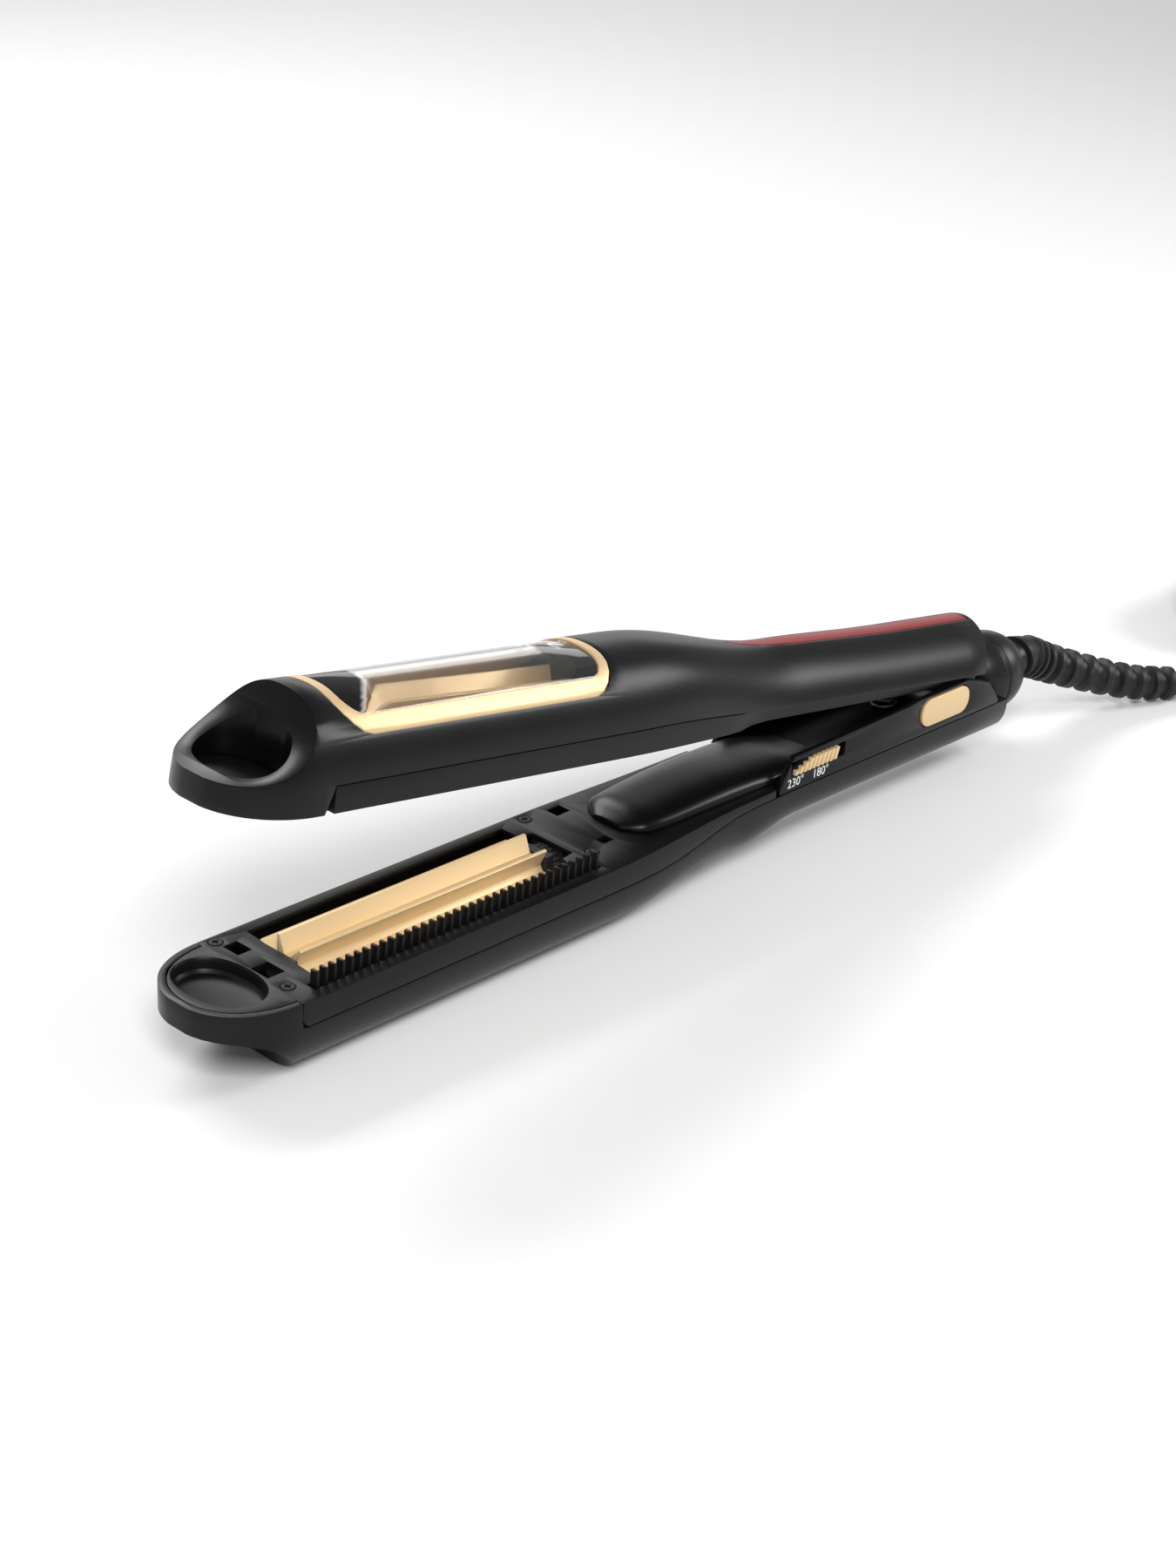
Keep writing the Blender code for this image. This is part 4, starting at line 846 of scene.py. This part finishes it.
def build_upper_shell():
    shell = upper_solid("upper_shell", 0.0, ARM_END)
    cavity = upper_solid("upper_cavity", WALL, 0.2640, 0.0240)
    levels = [0.130, 0.140, 0.150, 0.161, 0.170, 0.180, 0.190, 0.205, 0.220, 0.235, 0.250]
    edge = [(x, value(UPPER_PARTING, x)) for x in levels]
    outline = [(0.0220, -0.006), (0.0220, 0.0), (0.0245, 0.0062), *edge, (0.290, 0.0027), (0.290, -0.006)]
    band = plate("upper_band", outline, "y", -0.025, 0.025, upper_arm)
    seat = nose_seat("upper_seat", upper_arm, 1)
    window = plate("window_hole", window_outline(GAP), "z", 0.004, 0.030, upper_arm)
    rear = [(0.2738, 0.0160), (0.2665, 0.0), (0.2900, 0.0), (0.2900, 0.0160)]
    slant = plate("rear_slant", rear, "y", -0.025, 0.025, upper_arm)
    groove = stripe_band("stripe_groove", GAP, -0.0009, 0.002)
    cut(shell, cavity, band, seat, *scoop_cutter("upper_scoop", upper_arm, 1), window, slant, groove)
    for i, (x, y) in enumerate(UPPER_SCREWS[:2]):
        hole = rod("upper_boss_%d" % i, (x, y, 0.010), (x, y, -0.001), SCREW_SHANK + GAP, upper_arm, sides=12)
        cut(shell, hole)


def build_upper_frame():
    def outline(x):
        widths = (UPPER_WIDTH, UPPER_DEPTH, UPPER_ROUND)
        limit = value(((0.150, 0.018), (0.176, 0.0126)), x)
        level = value(UPPER_PARTING, x)
        half = min(side_y(x, 0.0, *widths), limit)
        half_edge = min(side_y(x, level, *widths), limit)
        return half, half_edge, half_edge - SKIRT

    def parting(x):
        return value(UPPER_PARTING, x) - GAP

    def level(x):
        return 0.0

    stations = [0.0247, 0.070, 0.118, 0.126, 0.134, 0.142, 0.150, 0.156, 0.162, 0.169, 0.176, 0.190, 0.215]
    stations += [0.240, 0.2660]
    rings = deck_rings(stations, outline, parting, level, 1)
    frame = loft("upper_inner_frame", rings, upper_arm)
    join(frame, nose_plate("upper_nose_plate", upper_arm, 1))
    for side in (1, -1):
        lug = hinge_lug(
            "upper_ear_%d" % side, side * 0.0100, side * 0.0122, UPPER_HINGE_X, UPPER_HINGE_Z, 0.0008, upper_arm
        )
        join(frame, lug)
    opening = plate("upper_opening", OPENING, "z", -0.010, 0.010, upper_arm)
    slot = box("upper_comb_slot", (0.0262, 0.1176), (-0.0151, -0.0115), (-0.010, 0.010), upper_arm)
    side = [(x, min(half + 2 * GAP, 0.0109)) for x, half in COVER_WIDTH]
    side = [(side[0][0] - 0.001, side[0][1]), *side, (side[-1][0] + 0.001, side[-1][1])]
    outline = [*side, *((x, -half) for x, half in reversed(side))]
    room = plate("cover_room", outline, "z", -0.001, COVER_ROOM, upper_arm)
    cut(frame, opening, slot, room, cup_hollow("upper_cup", upper_arm, 1))
    screw_holes(frame, "upper", UPPER_SCREWS, upper_arm, 1)
    pin = (UPPER_HINGE_X, 0.02, UPPER_HINGE_Z)
    cut(frame, rod("ear_hole", (pin[0], -pin[1], pin[2]), pin, PIN_RADIUS + GAP, upper_arm))


def build_window():
    bezel = upper_solid("window_bezel", 0.0, 0.1400, 0.0240)
    keep_inside(bezel, plate("bezel_outline", window_outline(0.0), "z", 0.004, 0.030, upper_arm))
    cut(bezel, upper_solid("bezel_back", WALL, 0.1420, 0.0230))
    cut(bezel, plate("bezel_hole", window_outline(-BEZEL), "z", 0.004, 0.030, upper_arm))
    glass = upper_solid("window_glass", 0.0003, 0.1400, 0.0240)
    keep_inside(glass, plate("glass_outline", window_outline(-BEZEL - GAP), "z", 0.004, 0.030, upper_arm))
    cut(glass, upper_solid("glass_back", 0.0013, 0.1420, 0.0230))


def build_stripe():
    stripe_band("red_stripe", 0.0, -0.0006, 0.0)


# Baking -------------------------------------------------------------------------------------------


def evaluated_mesh(obj):
    bpy.context.view_layer.update()
    graph = bpy.context.evaluated_depsgraph_get()
    return bpy.data.meshes.new_from_object(obj.evaluated_get(graph), depsgraph=graph)


def bake(name, body, nodes=(), edge=0.0003, angle=34, title=None, segments=2):
    """The finished mesh of a working object, with its edges rounded, riding on a body."""
    work = made[name]
    mesh = evaluated_mesh(work)
    mesh.transform(work.matrix_world)
    mesh.materials.clear()
    shape = bmesh.new()
    shape.from_mesh(mesh)
    # A many-sided face with a hole in it could close over the hole when its points are merged.
    wide = [face for face in shape.faces if len(face.verts) > 4]
    bmesh.ops.triangulate(shape, faces=wide, ngon_method="BEAUTY")
    bmesh.ops.remove_doubles(shape, verts=shape.verts, dist=MERGE)
    bmesh.ops.dissolve_degenerate(shape, dist=MERGE, edges=shape.edges)
    shape.to_mesh(mesh)
    shape.free()
    obj = linked(title or name + "_detail", mesh)
    if edge:
        change = obj.modifiers.new("rounding", "BEVEL")
        change.width = edge
        change.segments = segments
        change.limit_method = "ANGLE"
        change.angle_limit = math.radians(angle)
        change.use_clamp_overlap = True
        change.miter_outer = "MITER_ARC"
        rounded_mesh = evaluated_mesh(obj)
        obj.modifiers.clear()
        obj.data = rounded_mesh
    obj.data.shade_smooth()
    obj.data.set_sharp_from_angle(angle=SHARP)
    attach(obj, body)
    if nodes:
        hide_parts(*nodes)
    return obj


def clear_work():
    for obj in dict.fromkeys(made.values()):
        bpy.data.objects.remove(obj, do_unlink=True)
    made.clear()


def lathe(name, profile, arm, sides=72):
    """A turned piece about a line along x through the ball's centre: (x, radius) pairs."""
    rings = []
    for x, radius in profile:
        ring = []
        for i in range(sides):
            angle = 2 * math.pi * i / sides
            ring.append((x, radius * math.cos(angle), BALL_Z + radius * math.sin(angle)))
        rings.append(ring)
    return loft(name, rings, arm)


def sleeve(name, points, radii, arm, sides=40):
    """A round tube along points whose radius changes from point to point."""
    rings = []
    up = Vector((0.0, 0.0, 1.0))
    for i, point in enumerate(points):
        ahead = points[min(i + 1, len(points) - 1)] - points[max(i - 1, 0)]
        ahead.normalize()
        side = up.cross(ahead).normalized()
        lift = ahead.cross(side)
        ring = []
        for k in range(sides):
            angle = 2 * math.pi * k / sides
            ring.append(point + side * (radii[i] * math.cos(angle)) + lift * (radii[i] * math.sin(angle)))
        rings.append(ring)
    return loft(name, rings, arm)


# Finishes -----------------------------------------------------------------------------------------


def mixed(tree, kind, factor, low, high):
    """A colour or number between two values, by a texture."""
    node = tree.nodes.new("ShaderNodeMix")
    node.data_type = kind
    tree.links.new(factor, node.inputs[0])
    if kind == "RGBA":
        node.inputs[6].default_value = (*low, 1.0)
        node.inputs[7].default_value = (*high, 1.0)
        return node.outputs[2]
    node.inputs[2].default_value = low
    node.inputs[3].default_value = high
    return node.outputs[0]


def noise(tree, coords, scale, detail=3.0, stretch=None):
    node = tree.nodes.new("ShaderNodeTexNoise")
    node.inputs["Scale"].default_value = scale
    node.inputs["Detail"].default_value = detail
    if stretch:
        mapping = tree.nodes.new("ShaderNodeMapping")
        mapping.inputs["Scale"].default_value = stretch
        tree.links.new(coords, mapping.inputs["Vector"])
        coords = mapping.outputs[0]
    tree.links.new(coords, node.inputs["Vector"])
    return node.outputs["Fac"]


def finish(
    name,
    low,
    high,
    rough,
    metallic=0.0,
    grain=1800.0,
    bump=0.04,
    coat=0.0,
    stretch=None,
    transmission=0.0,
    shine=0.5,
):
    """A moulded, coated or metal surface: mottled colour, uneven roughness and a fine grain."""
    look = bpy.data.materials.new(name)
    look.use_nodes = True
    tree = look.node_tree
    shader = tree.nodes["Principled BSDF"]
    coords = tree.nodes.new("ShaderNodeTexCoord").outputs["Object"]
    broad = noise(tree, coords, 45.0, 4.0)
    fine = noise(tree, coords, grain, 2.0, stretch)
    tree.links.new(mixed(tree, "RGBA", broad, low, high), shader.inputs["Base Color"])
    blend = tree.nodes.new("ShaderNodeMath")
    blend.operation = "MULTIPLY_ADD"
    tree.links.new(fine, blend.inputs[0])
    blend.inputs[1].default_value = 0.5
    tree.links.new(broad, blend.inputs[2])
    tree.links.new(mixed(tree, "FLOAT", blend.outputs[0], rough[0], rough[1]), shader.inputs["Roughness"])
    shader.inputs["Metallic"].default_value = metallic
    shader.inputs["Coat Weight"].default_value = coat
    shader.inputs["Specular IOR Level"].default_value = shine
    shader.inputs["Coat Roughness"].default_value = 0.12
    if transmission:
        shader.inputs["Transmission Weight"].default_value = transmission
        shader.inputs["IOR"].default_value = 1.45
    relief = tree.nodes.new("ShaderNodeBump")
    relief.inputs["Strength"].default_value = bump
    relief.inputs["Distance"].default_value = 0.0002
    tree.links.new(fine, relief.inputs["Height"])
    tree.links.new(relief.outputs[0], shader.inputs["Normal"])
    return look


LOOKS = {
    "shell": finish(
        "satin_black_moulding", (0.0025, 0.0025, 0.0027), (0.004, 0.004, 0.0043), (0.25, 0.34), shine=0.22
    ),
    "frame": finish(
        "fine_matt_black", (0.003, 0.003, 0.0032), (0.005, 0.005, 0.0054), (0.32, 0.44), bump=0.08, shine=0.22
    ),
    "bearing": finish(
        "heat_resistant_black", (0.014, 0.014, 0.015), (0.022, 0.022, 0.023), (0.5, 0.65), bump=0.12
    ),
    "steel": finish(
        "drawn_steel", (0.40, 0.40, 0.41), (0.52, 0.52, 0.54), (0.25, 0.42), 1.0, 900.0, 0.10, stretch=(
            0.05, 1.0, 1.0
        )
    ),
    "screw": finish(
        "blackened_steel", (0.010, 0.010, 0.011), (0.022, 0.022, 0.024), (0.40, 0.55), 0.6, 1400.0, 0.10
    ),
    "board": finish("solder_masked_board", (0.012, 0.10, 0.035), (0.02, 0.14, 0.05), (0.3, 0.45), coat=0.2),
    "cord": finish(
        "lead_rubber", (0.012, 0.012, 0.013), (0.012, 0.012, 0.013), (0.38, 0.5), 0.0, 1200.0, 0.10, shine=0.3
    ),
    "swivel": finish(
        "swivel_plastic", (0.012, 0.012, 0.013), (0.010, 0.010, 0.011), (0.28, 0.40), bump=0.05, shine=0.3
    ),
    "contact": finish("nickel_plate", (0.55, 0.54, 0.50), (0.66, 0.65, 0.61), (0.16, 0.28), 1.0, 700.0, 0.04),
    "gold_trim": finish(
        "champagne_trim", (0.70, 0.50, 0.27), (0.76, 0.56, 0.31), (0.34, 0.46), 0.40, 1500.0, 0.04
    ),
    "gold_roller": finish(
        "champagne_coating", (0.80, 0.58, 0.31), (0.86, 0.65, 0.37), (0.36, 0.48), 0.35, 1200.0, 0.05
    ),
    "window": finish(
        "clear_window",
        (0.96, 0.96, 0.97),
        (0.99, 0.99, 0.99),
        (0.02, 0.06),
        0.0,
        300.0,
        0.0,
        transmission=1.0,
    ),
    "stripe": finish(
        "dark_red_inlay", (0.20, 0.012, 0.012), (0.25, 0.016, 0.016), (0.32, 0.42), bump=0.04, shine=0.3
    ),
    "gear": finish("dark_gear_plastic", (0.035, 0.035, 0.037), (0.055, 0.055, 0.058), (0.4, 0.5), bump=0.06),
    "print": finish("white_print", (0.70, 0.70, 0.70), (0.80, 0.80, 0.80), (0.45, 0.55), bump=0.02),
}


def dress(obj, slot):
    obj.data.materials.clear()
    obj.data.materials.append(LOOKS[slot])


def show(name, body, slot, **shape):
    """Bakes the piece that stands for a node of the same name, and gives it its finish."""
    dress(bake(name, body, [name], **shape), slot)


# Camera -------------------------------------------------------------------------------------------


def build_camera():
    right = Vector((0.68813, -0.72312, 0.05982))
    down = Vector((-0.27365, -0.33499, -0.90161))
    ahead = Vector((0.67201, 0.60405, -0.42840))
    lens = bpy.data.cameras.new("camera")
    lens.lens = 66.24
    lens.sensor_width = 36
    camera = linked("camera", lens)
    pose = Matrix((right, -down, -ahead)).transposed().to_4x4()
    pose.translation = Vector((-0.34025 - MIDDLE_X, -0.41946, 0.31102 + BELLY_DEPTH))
    camera.matrix_world = pose
    bpy.context.scene.camera = camera


def soft_light(name, place_at, target, size, power):
    light = bpy.data.lights.new(name, "AREA")
    light.energy = power
    light.shape = "RECTANGLE"
    light.size, light.size_y = size
    lamp = linked(name, light)
    spot = Vector(place_at)
    lamp.location = spot
    lamp.rotation_euler = (spot - Vector(target)).to_track_quat("Z", "Y").to_euler()


def build_stage():
    mesh = bpy.data.meshes.new("floor")
    mesh.from_pydata([(-5, -5, 0), (5, -5, 0), (5, 5, 0), (-5, 5, 0)], [], [(0, 1, 2, 3)])
    floor = linked("floor", mesh)
    mesh.materials.append(
        finish("pale_floor", (0.86, 0.86, 0.86), (0.88, 0.88, 0.88), (0.75, 0.85), grain=200.0, bump=0.0)
    )
    floor.location.z = -0.0002
    world = bpy.data.worlds.new("studio")
    world.use_nodes = True
    world.node_tree.nodes["Background"].inputs[0].default_value = (1.0, 1.0, 1.0, 1.0)
    world.node_tree.nodes["Background"].inputs[1].default_value = 0.34
    bpy.context.scene.world = world
    bpy.context.scene.view_settings.view_transform = "Standard"
    soft_light("key", (-0.60, -0.60, 0.80), (0.0, 0.0, 0.02), (0.42, 0.42), 8.4)
    soft_light("fill", (0.75, -0.45, 0.50), (0.05, 0.0, 0.02), (0.35, 0.35), 4.4)
    soft_light("far", (1.30, 1.40, 0.40), (0.0, 0.0, 0.05), (1.6, 0.5), 3.2)
    soft_light("back", (0.10, 0.90, 0.80), (0.0, 0.0, 0.02), (0.9, 0.30), 8.2)


# Cord ---------------------------------------------------------------------------------------------


def arc(centre, radius, start, end, low, high, steps=12):
    """Points round part of a circle in plan, while the height goes from low to high."""
    points = []
    for i in range(1, steps + 1):
        share = i / steps
        angle = math.radians(start + (end - start) * share)
        size = radius[0] + (radius[1] - radius[0]) * share
        points.append(
            (
                centre[0] + size * math.cos(angle),
                centre[1] + size * math.sin(angle),
                low + (high - low) * share,
            )
        )
    return points


def straight(x0, x1, start, end, steps=6):
    """Points along x, while (y, height) goes smoothly from start to end."""
    points = []
    for i in range(1, steps + 1):
        share = i / steps
        ease = (1 - math.cos(math.pi * share)) / 2
        side = start[0] + (end[0] - start[0]) * ease
        points.append((x0 + (x1 - x0) * share, side, start[1] + (end[1] - start[1]) * ease))
    return points


def far_run(x0, x1, start, end, quarter):
    """A run of the hank that changes lane in one quarter of its way, which no other run shares."""
    points = []
    for part in range(4):
        ends = [x0 + (x1 - x0) * (part + step) / 4 for step in (0, 1)]
        before = start if part <= quarter else end
        after = start if part < quarter else end
        points += straight(*ends, before, after)
    return points


def cord_path():
    """The lead from the swivel's neck, into its hank, and round to the plug."""
    level = [-BELLY_DEPTH + 0.0001 + CORD_DIAMETER * (0.5 + k) for k in range(3)]
    outer = HANK_WIDTH / 2 - CORD_DIAMETER / 2
    inner = outer - CORD_DIAMETER
    front = (HANK_X[0] + HANK_WIDTH / 2, HANK_Y)
    rear = (HANK_X[1] - HANK_WIDTH / 2, HANK_Y)
    free = through(RELIEF_ROUTE, 6)[:-1] + through(CORD_ROUTE, 4)
    free = [tuple(point) for point in free]
    points = [point for i, point in enumerate(free) if i == 0 or math.dist(point, free[i - 1]) > 0.0008]
    points += straight(CORD_ROUTE[-1][0], rear[0], CORD_ROUTE[-1][1:], (HANK_Y - outer, level[0]), 8)
    # Each turn: the radius and layer at its start, those at its end, and the quarter where it changes.
    turns = (
        (outer, 0, outer, 1, 3),
        (outer, 1, inner, 1, 2),
        (inner, 1, inner, 2, 1),
        (inner, 2, outer, 2, 0),
    )
    for radius, layer, next_radius, next_layer, quarter in turns:
        points += arc(rear, (radius, radius), -90, 90, level[layer], level[layer])
        start = (HANK_Y + radius, level[layer])
        end = (HANK_Y + next_radius, level[next_layer])
        points += far_run(rear[0], front[0], start, end, quarter)
        points += arc(front, (next_radius, next_radius), 90, 270, level[next_layer], level[next_layer])
        lane = (HANK_Y - next_radius, level[next_layer])
        points += straight(front[0], rear[0], lane, lane)
    points += [tail_point(TAIL_FREE[1] * i / 18) for i in range(1, 19)]
    points.append((PLUG_START + 0.006, PLUG_Y, points[-1][2]))
    return points


def build_lead():
    route = cord_path()
    curve = bpy.data.curves.new("lead", "CURVE")
    curve.dimensions = "3D"
    curve.bevel_depth = CORD_DIAMETER / 2
    curve.bevel_resolution = 6
    curve.use_fill_caps = True
    spline = curve.splines.new("POLY")
    spline.points.add(len(route) - 1)
    for i, point in enumerate(route):
        spline.points[i].co = (*(LOWER @ Vector(point)), 1.0)
    spline.use_smooth = True
    lead = linked("lead", curve)
    curve.materials.append(LOOKS["cord"])
    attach(lead, "lower_arm")
    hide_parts("cord_run", "cord_hank", "cord_tail")

    points = through(RELIEF_ROUTE, 26)
    points[0].z = points[1].z
    radii = []
    count = len(points)
    for i in range(count):
        share = i / (count - 1)
        smooth = 0.0060 - 0.0019 * share
        wave = math.sin(2 * math.pi * (share - 0.30) * 15)
        rib = 0.0 if share < 0.30 else 0.00075 * max(-1.0, min(1.0, 3.0 * wave))
        lip = 0.0004 if 0.02 < share < 0.06 else 0.0
        radii.append(smooth + rib + lip)
    sleeve("relief", points, radii, lower_arm)
    relief = bake("relief", "lower_arm", ["strain_relief"], edge=0.0)
    dress(relief, "cord")

    plug_work = loft("plug", plug_rings(), lower_arm)
    plug_work.modifiers.new("smooth", "SUBSURF").levels = 2
    plug = bake("plug", "lower_arm", ["plug_body"], edge=0.0, title="plug_moulding")
    dress(plug, "cord")


def build_swivel_ball():
    """The ball with its two turned grooves, its neck, and the spindle and collar that hold it."""
    profile = [(0.2690, 0.0055), (0.2713, 0.0055), (0.2713, 0.0034)]
    first = math.asin(0.0034 / BALL_RADIUS)
    last = math.pi - math.asin(NECK_RADIUS / BALL_RADIUS)
    for i in range(97):
        angle = first + (last - first) * i / 96
        groove = 0.0
        for middle in (1.36, 2.02):
            groove = max(groove, 0.00045 * (1 - abs(angle - middle) / 0.05))
        radius = BALL_RADIUS - groove
        profile.append((BALL_X - radius * math.cos(angle), radius * math.sin(angle)))
    profile += [(NECK_END - 0.0016, NECK_RADIUS), (NECK_END, NECK_RADIUS)]
    lathe("cord_swivel_ball", profile, lower_arm)


def build_cross_screws(prefix, places, arm, side, body):
    """Countersunk screws with a cross recess, set just below the deck."""
    for number, (x, y) in enumerate(places):
        name = "%s_screw_%d" % (prefix, number + 1)
        rod(name, (x, y, side * 0.0004), (x, y, -side * 0.0001), SCREW_HEAD, arm, sides=40)
        shank = rod(name + "_shank", (x, y, side * SCREW_LENGTH), (x, y, side * 0.0002), SCREW_SHANK, arm)
        join(made[name], shank)
        deep = sorted((side * 0.0003, -side * 0.001))
        for turn in (0, 1):
            half = (0.0009, 0.00022) if turn else (0.00022, 0.0009)
            cut(
                made[name],
                box(name + "_slot_%d" % turn, (x - half[0], x + half[0]), (y - half[1], y + half[1]), deep, arm),
            )
        dress(bake(name, body, [name], edge=0.0001, title=name + "_detail"), "screw")


def build_coil_spring():
    """The spring between the arms, at the length it has with them open; it is not made to shorten as they close.
    """
    bottom = lower_top(SPRING_X) + GAP + SPRING_WIRE / 2
    top = SPRING_TOP - SPRING_WIRE / 2
    steps = SPRING_TURNS * 32
    points = []
    for i in range(steps + 1):
        turn = 2 * math.pi * SPRING_TURNS * i / steps
        level = bottom + (top - bottom) * i / steps
        points.append(
            Vector((SPRING_X + SPRING_RADIUS * math.cos(turn), SPRING_RADIUS * math.sin(turn), level))
        )
    sleeve("arm_spring", points, [SPRING_WIRE / 2] * len(points), lower_arm, 14)
    spring = bake("arm_spring", "lower_arm", ["arm_spring"], edge=0.0)
    dress(spring, "steel")
    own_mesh(spring)


def build_ribbed_slider():
    """The temperature knob: separate ribs that lean back and grow towards the rear, on a thin foot."""
    pitch = (SLIDER_X[1] - SLIDER_X[0]) / RIBS
    foot = [(SLIDER_X[0], SLIDER_Z[0]), (SLIDER_X[0], SLIDER_Z[0] + 0.0008)]
    foot += [(SLIDER_X[0] + 0.0060, SLIDER_Z[1] - 0.0004), (SLIDER_X[1], SLIDER_Z[1] - 0.0004), (
        SLIDER_X[1], SLIDER_Z[0]
    )]
    knob = plate("temperature_slider", foot, "y", -0.0150, -0.0140, lower_arm)
    tie = (SLIDER_X[0] + 0.0002, SLIDER_X[1] - 0.0004), (-0.01495, -0.0146), (0.0036, 0.0042)
    ribs = [box("slider_tie", *tie, lower_arm)]
    for number in range(RIBS):
        x = SLIDER_X[0] + pitch * number
        top = SLIDER_Z[0] + (SLIDER_Z[1] - SLIDER_Z[0]) * min(1.0, 0.35 + 0.20 * number)
        lean = (top - SLIDER_Z[0]) * 0.30
        outline = [(x, SLIDER_Z[0]), (x + lean, top), (x + lean + 0.58 * pitch, top), (
            x + 0.58 * pitch, SLIDER_Z[0]
        )]
        outline = [(min(u, SLIDER_X[1] + 0.0004), v) for u, v in outline]
        ribs.append(plate("slider_rib_%d" % number, outline, "y", -0.0160, -0.0148, lower_arm))
    join(ribs[0], *ribs[1:])
    made["slider_foot"] = knob
    made["temperature_slider"] = ribs[0]


def build_label(name, text, x, z, size):
    """A printed temperature on the control panel."""
    curve = bpy.data.curves.new(name, "FONT")
    curve.body = text
    curve.size = size
    curve.extrude = 0.00002
    curve.resolution_u = 6
    work = linked(name + "_work", curve)
    mesh = evaluated_mesh(work)
    bpy.data.objects.remove(work, do_unlink=True)
    upright = Matrix.Rotation(math.pi / 2, 4, "X")
    mesh.transform(LOWER @ Matrix.Translation((x, PANEL_Y[0] - 0.00002, z)) @ upright)
    label = linked(name, mesh)
    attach(label, "lower_arm")
    dress(label, "print")


# Build --------------------------------------------------------------------------------------------

build_camera()
build_stage()
build_lead()

build_lower_shell()
show("lower_shell", "lower_arm", "shell")
build_lower_frame()
show("lower_inner_frame", "lower_arm", "frame", edge=0.00025)
build_comb()
show("guide_comb", "lower_arm", "frame", edge=0.00015)
build_motor_cover()
show("motor_cover", "lower_arm", "shell", edge=0.0004)
build_panels()
show("control_panel", "lower_arm", "shell", edge=0.00025)
show("side_panel", "lower_arm", "shell", edge=0.00025)
build_button()
show("power_button", "button", "gold_trim", edge=0.0004, segments=3)
build_ribbed_slider()
show("temperature_slider", "slider", "gold_trim", edge=0.0001)
dress(bake("slider_foot", "slider", edge=0.0001), "swivel")
build_roller("lower_roller", lower_arm, LOWER_ROLLER_Z, LOWER_PHASE, 0.0)
show("lower_roller", "lower_roller_body", "gold_roller", edge=0.00018)

build_cross_screws("lower", LOWER_SCREWS, lower_arm, -1, "lower_arm")
build_coil_spring()
build_swivel_ball()
show("cord_swivel_ball", "swivel", "swivel", edge=0.0)

tilt = CLOSE_ANGLE - OPEN_ANGLE
build_cross_screws("upper", UPPER_SCREWS, upper_arm, 1, "upper_arm")
build_upper_shell()
show("upper_shell", "upper_arm", "shell")
build_upper_frame()
show("upper_inner_frame", "upper_arm", "frame", edge=0.00025)
build_window()
show("window_bezel", "upper_arm", "gold_trim", edge=0.0004, segments=3)
show("window_glass", "upper_arm", "window", edge=0.00015)
build_stripe()
show("red_stripe", "upper_arm", "stripe", edge=0.0)
build_roller("upper_roller", upper_arm, UPPER_ROLLER_Z, UPPER_PHASE, tilt)
show("upper_roller", "upper_roller_body", "gold_roller", edge=0.00018)
clear_work()
for text, x in (("230\u00b0", 0.18480), ("180\u00b0", 0.19480)):
    build_label("temperature_mark_" + text[:3], text, x, 0.0000, 0.0034)

slots = {part["node"]: part["material_slot"] for part in frame["record"]["subparts"]}
for node, obj in frame["nodes"].items():
    obj.data.materials.clear()
    obj.data.materials.append(LOOKS[slots[node]])
    obj.data.shade_smooth()
    obj.data.set_sharp_from_angle(angle=math.radians(35))
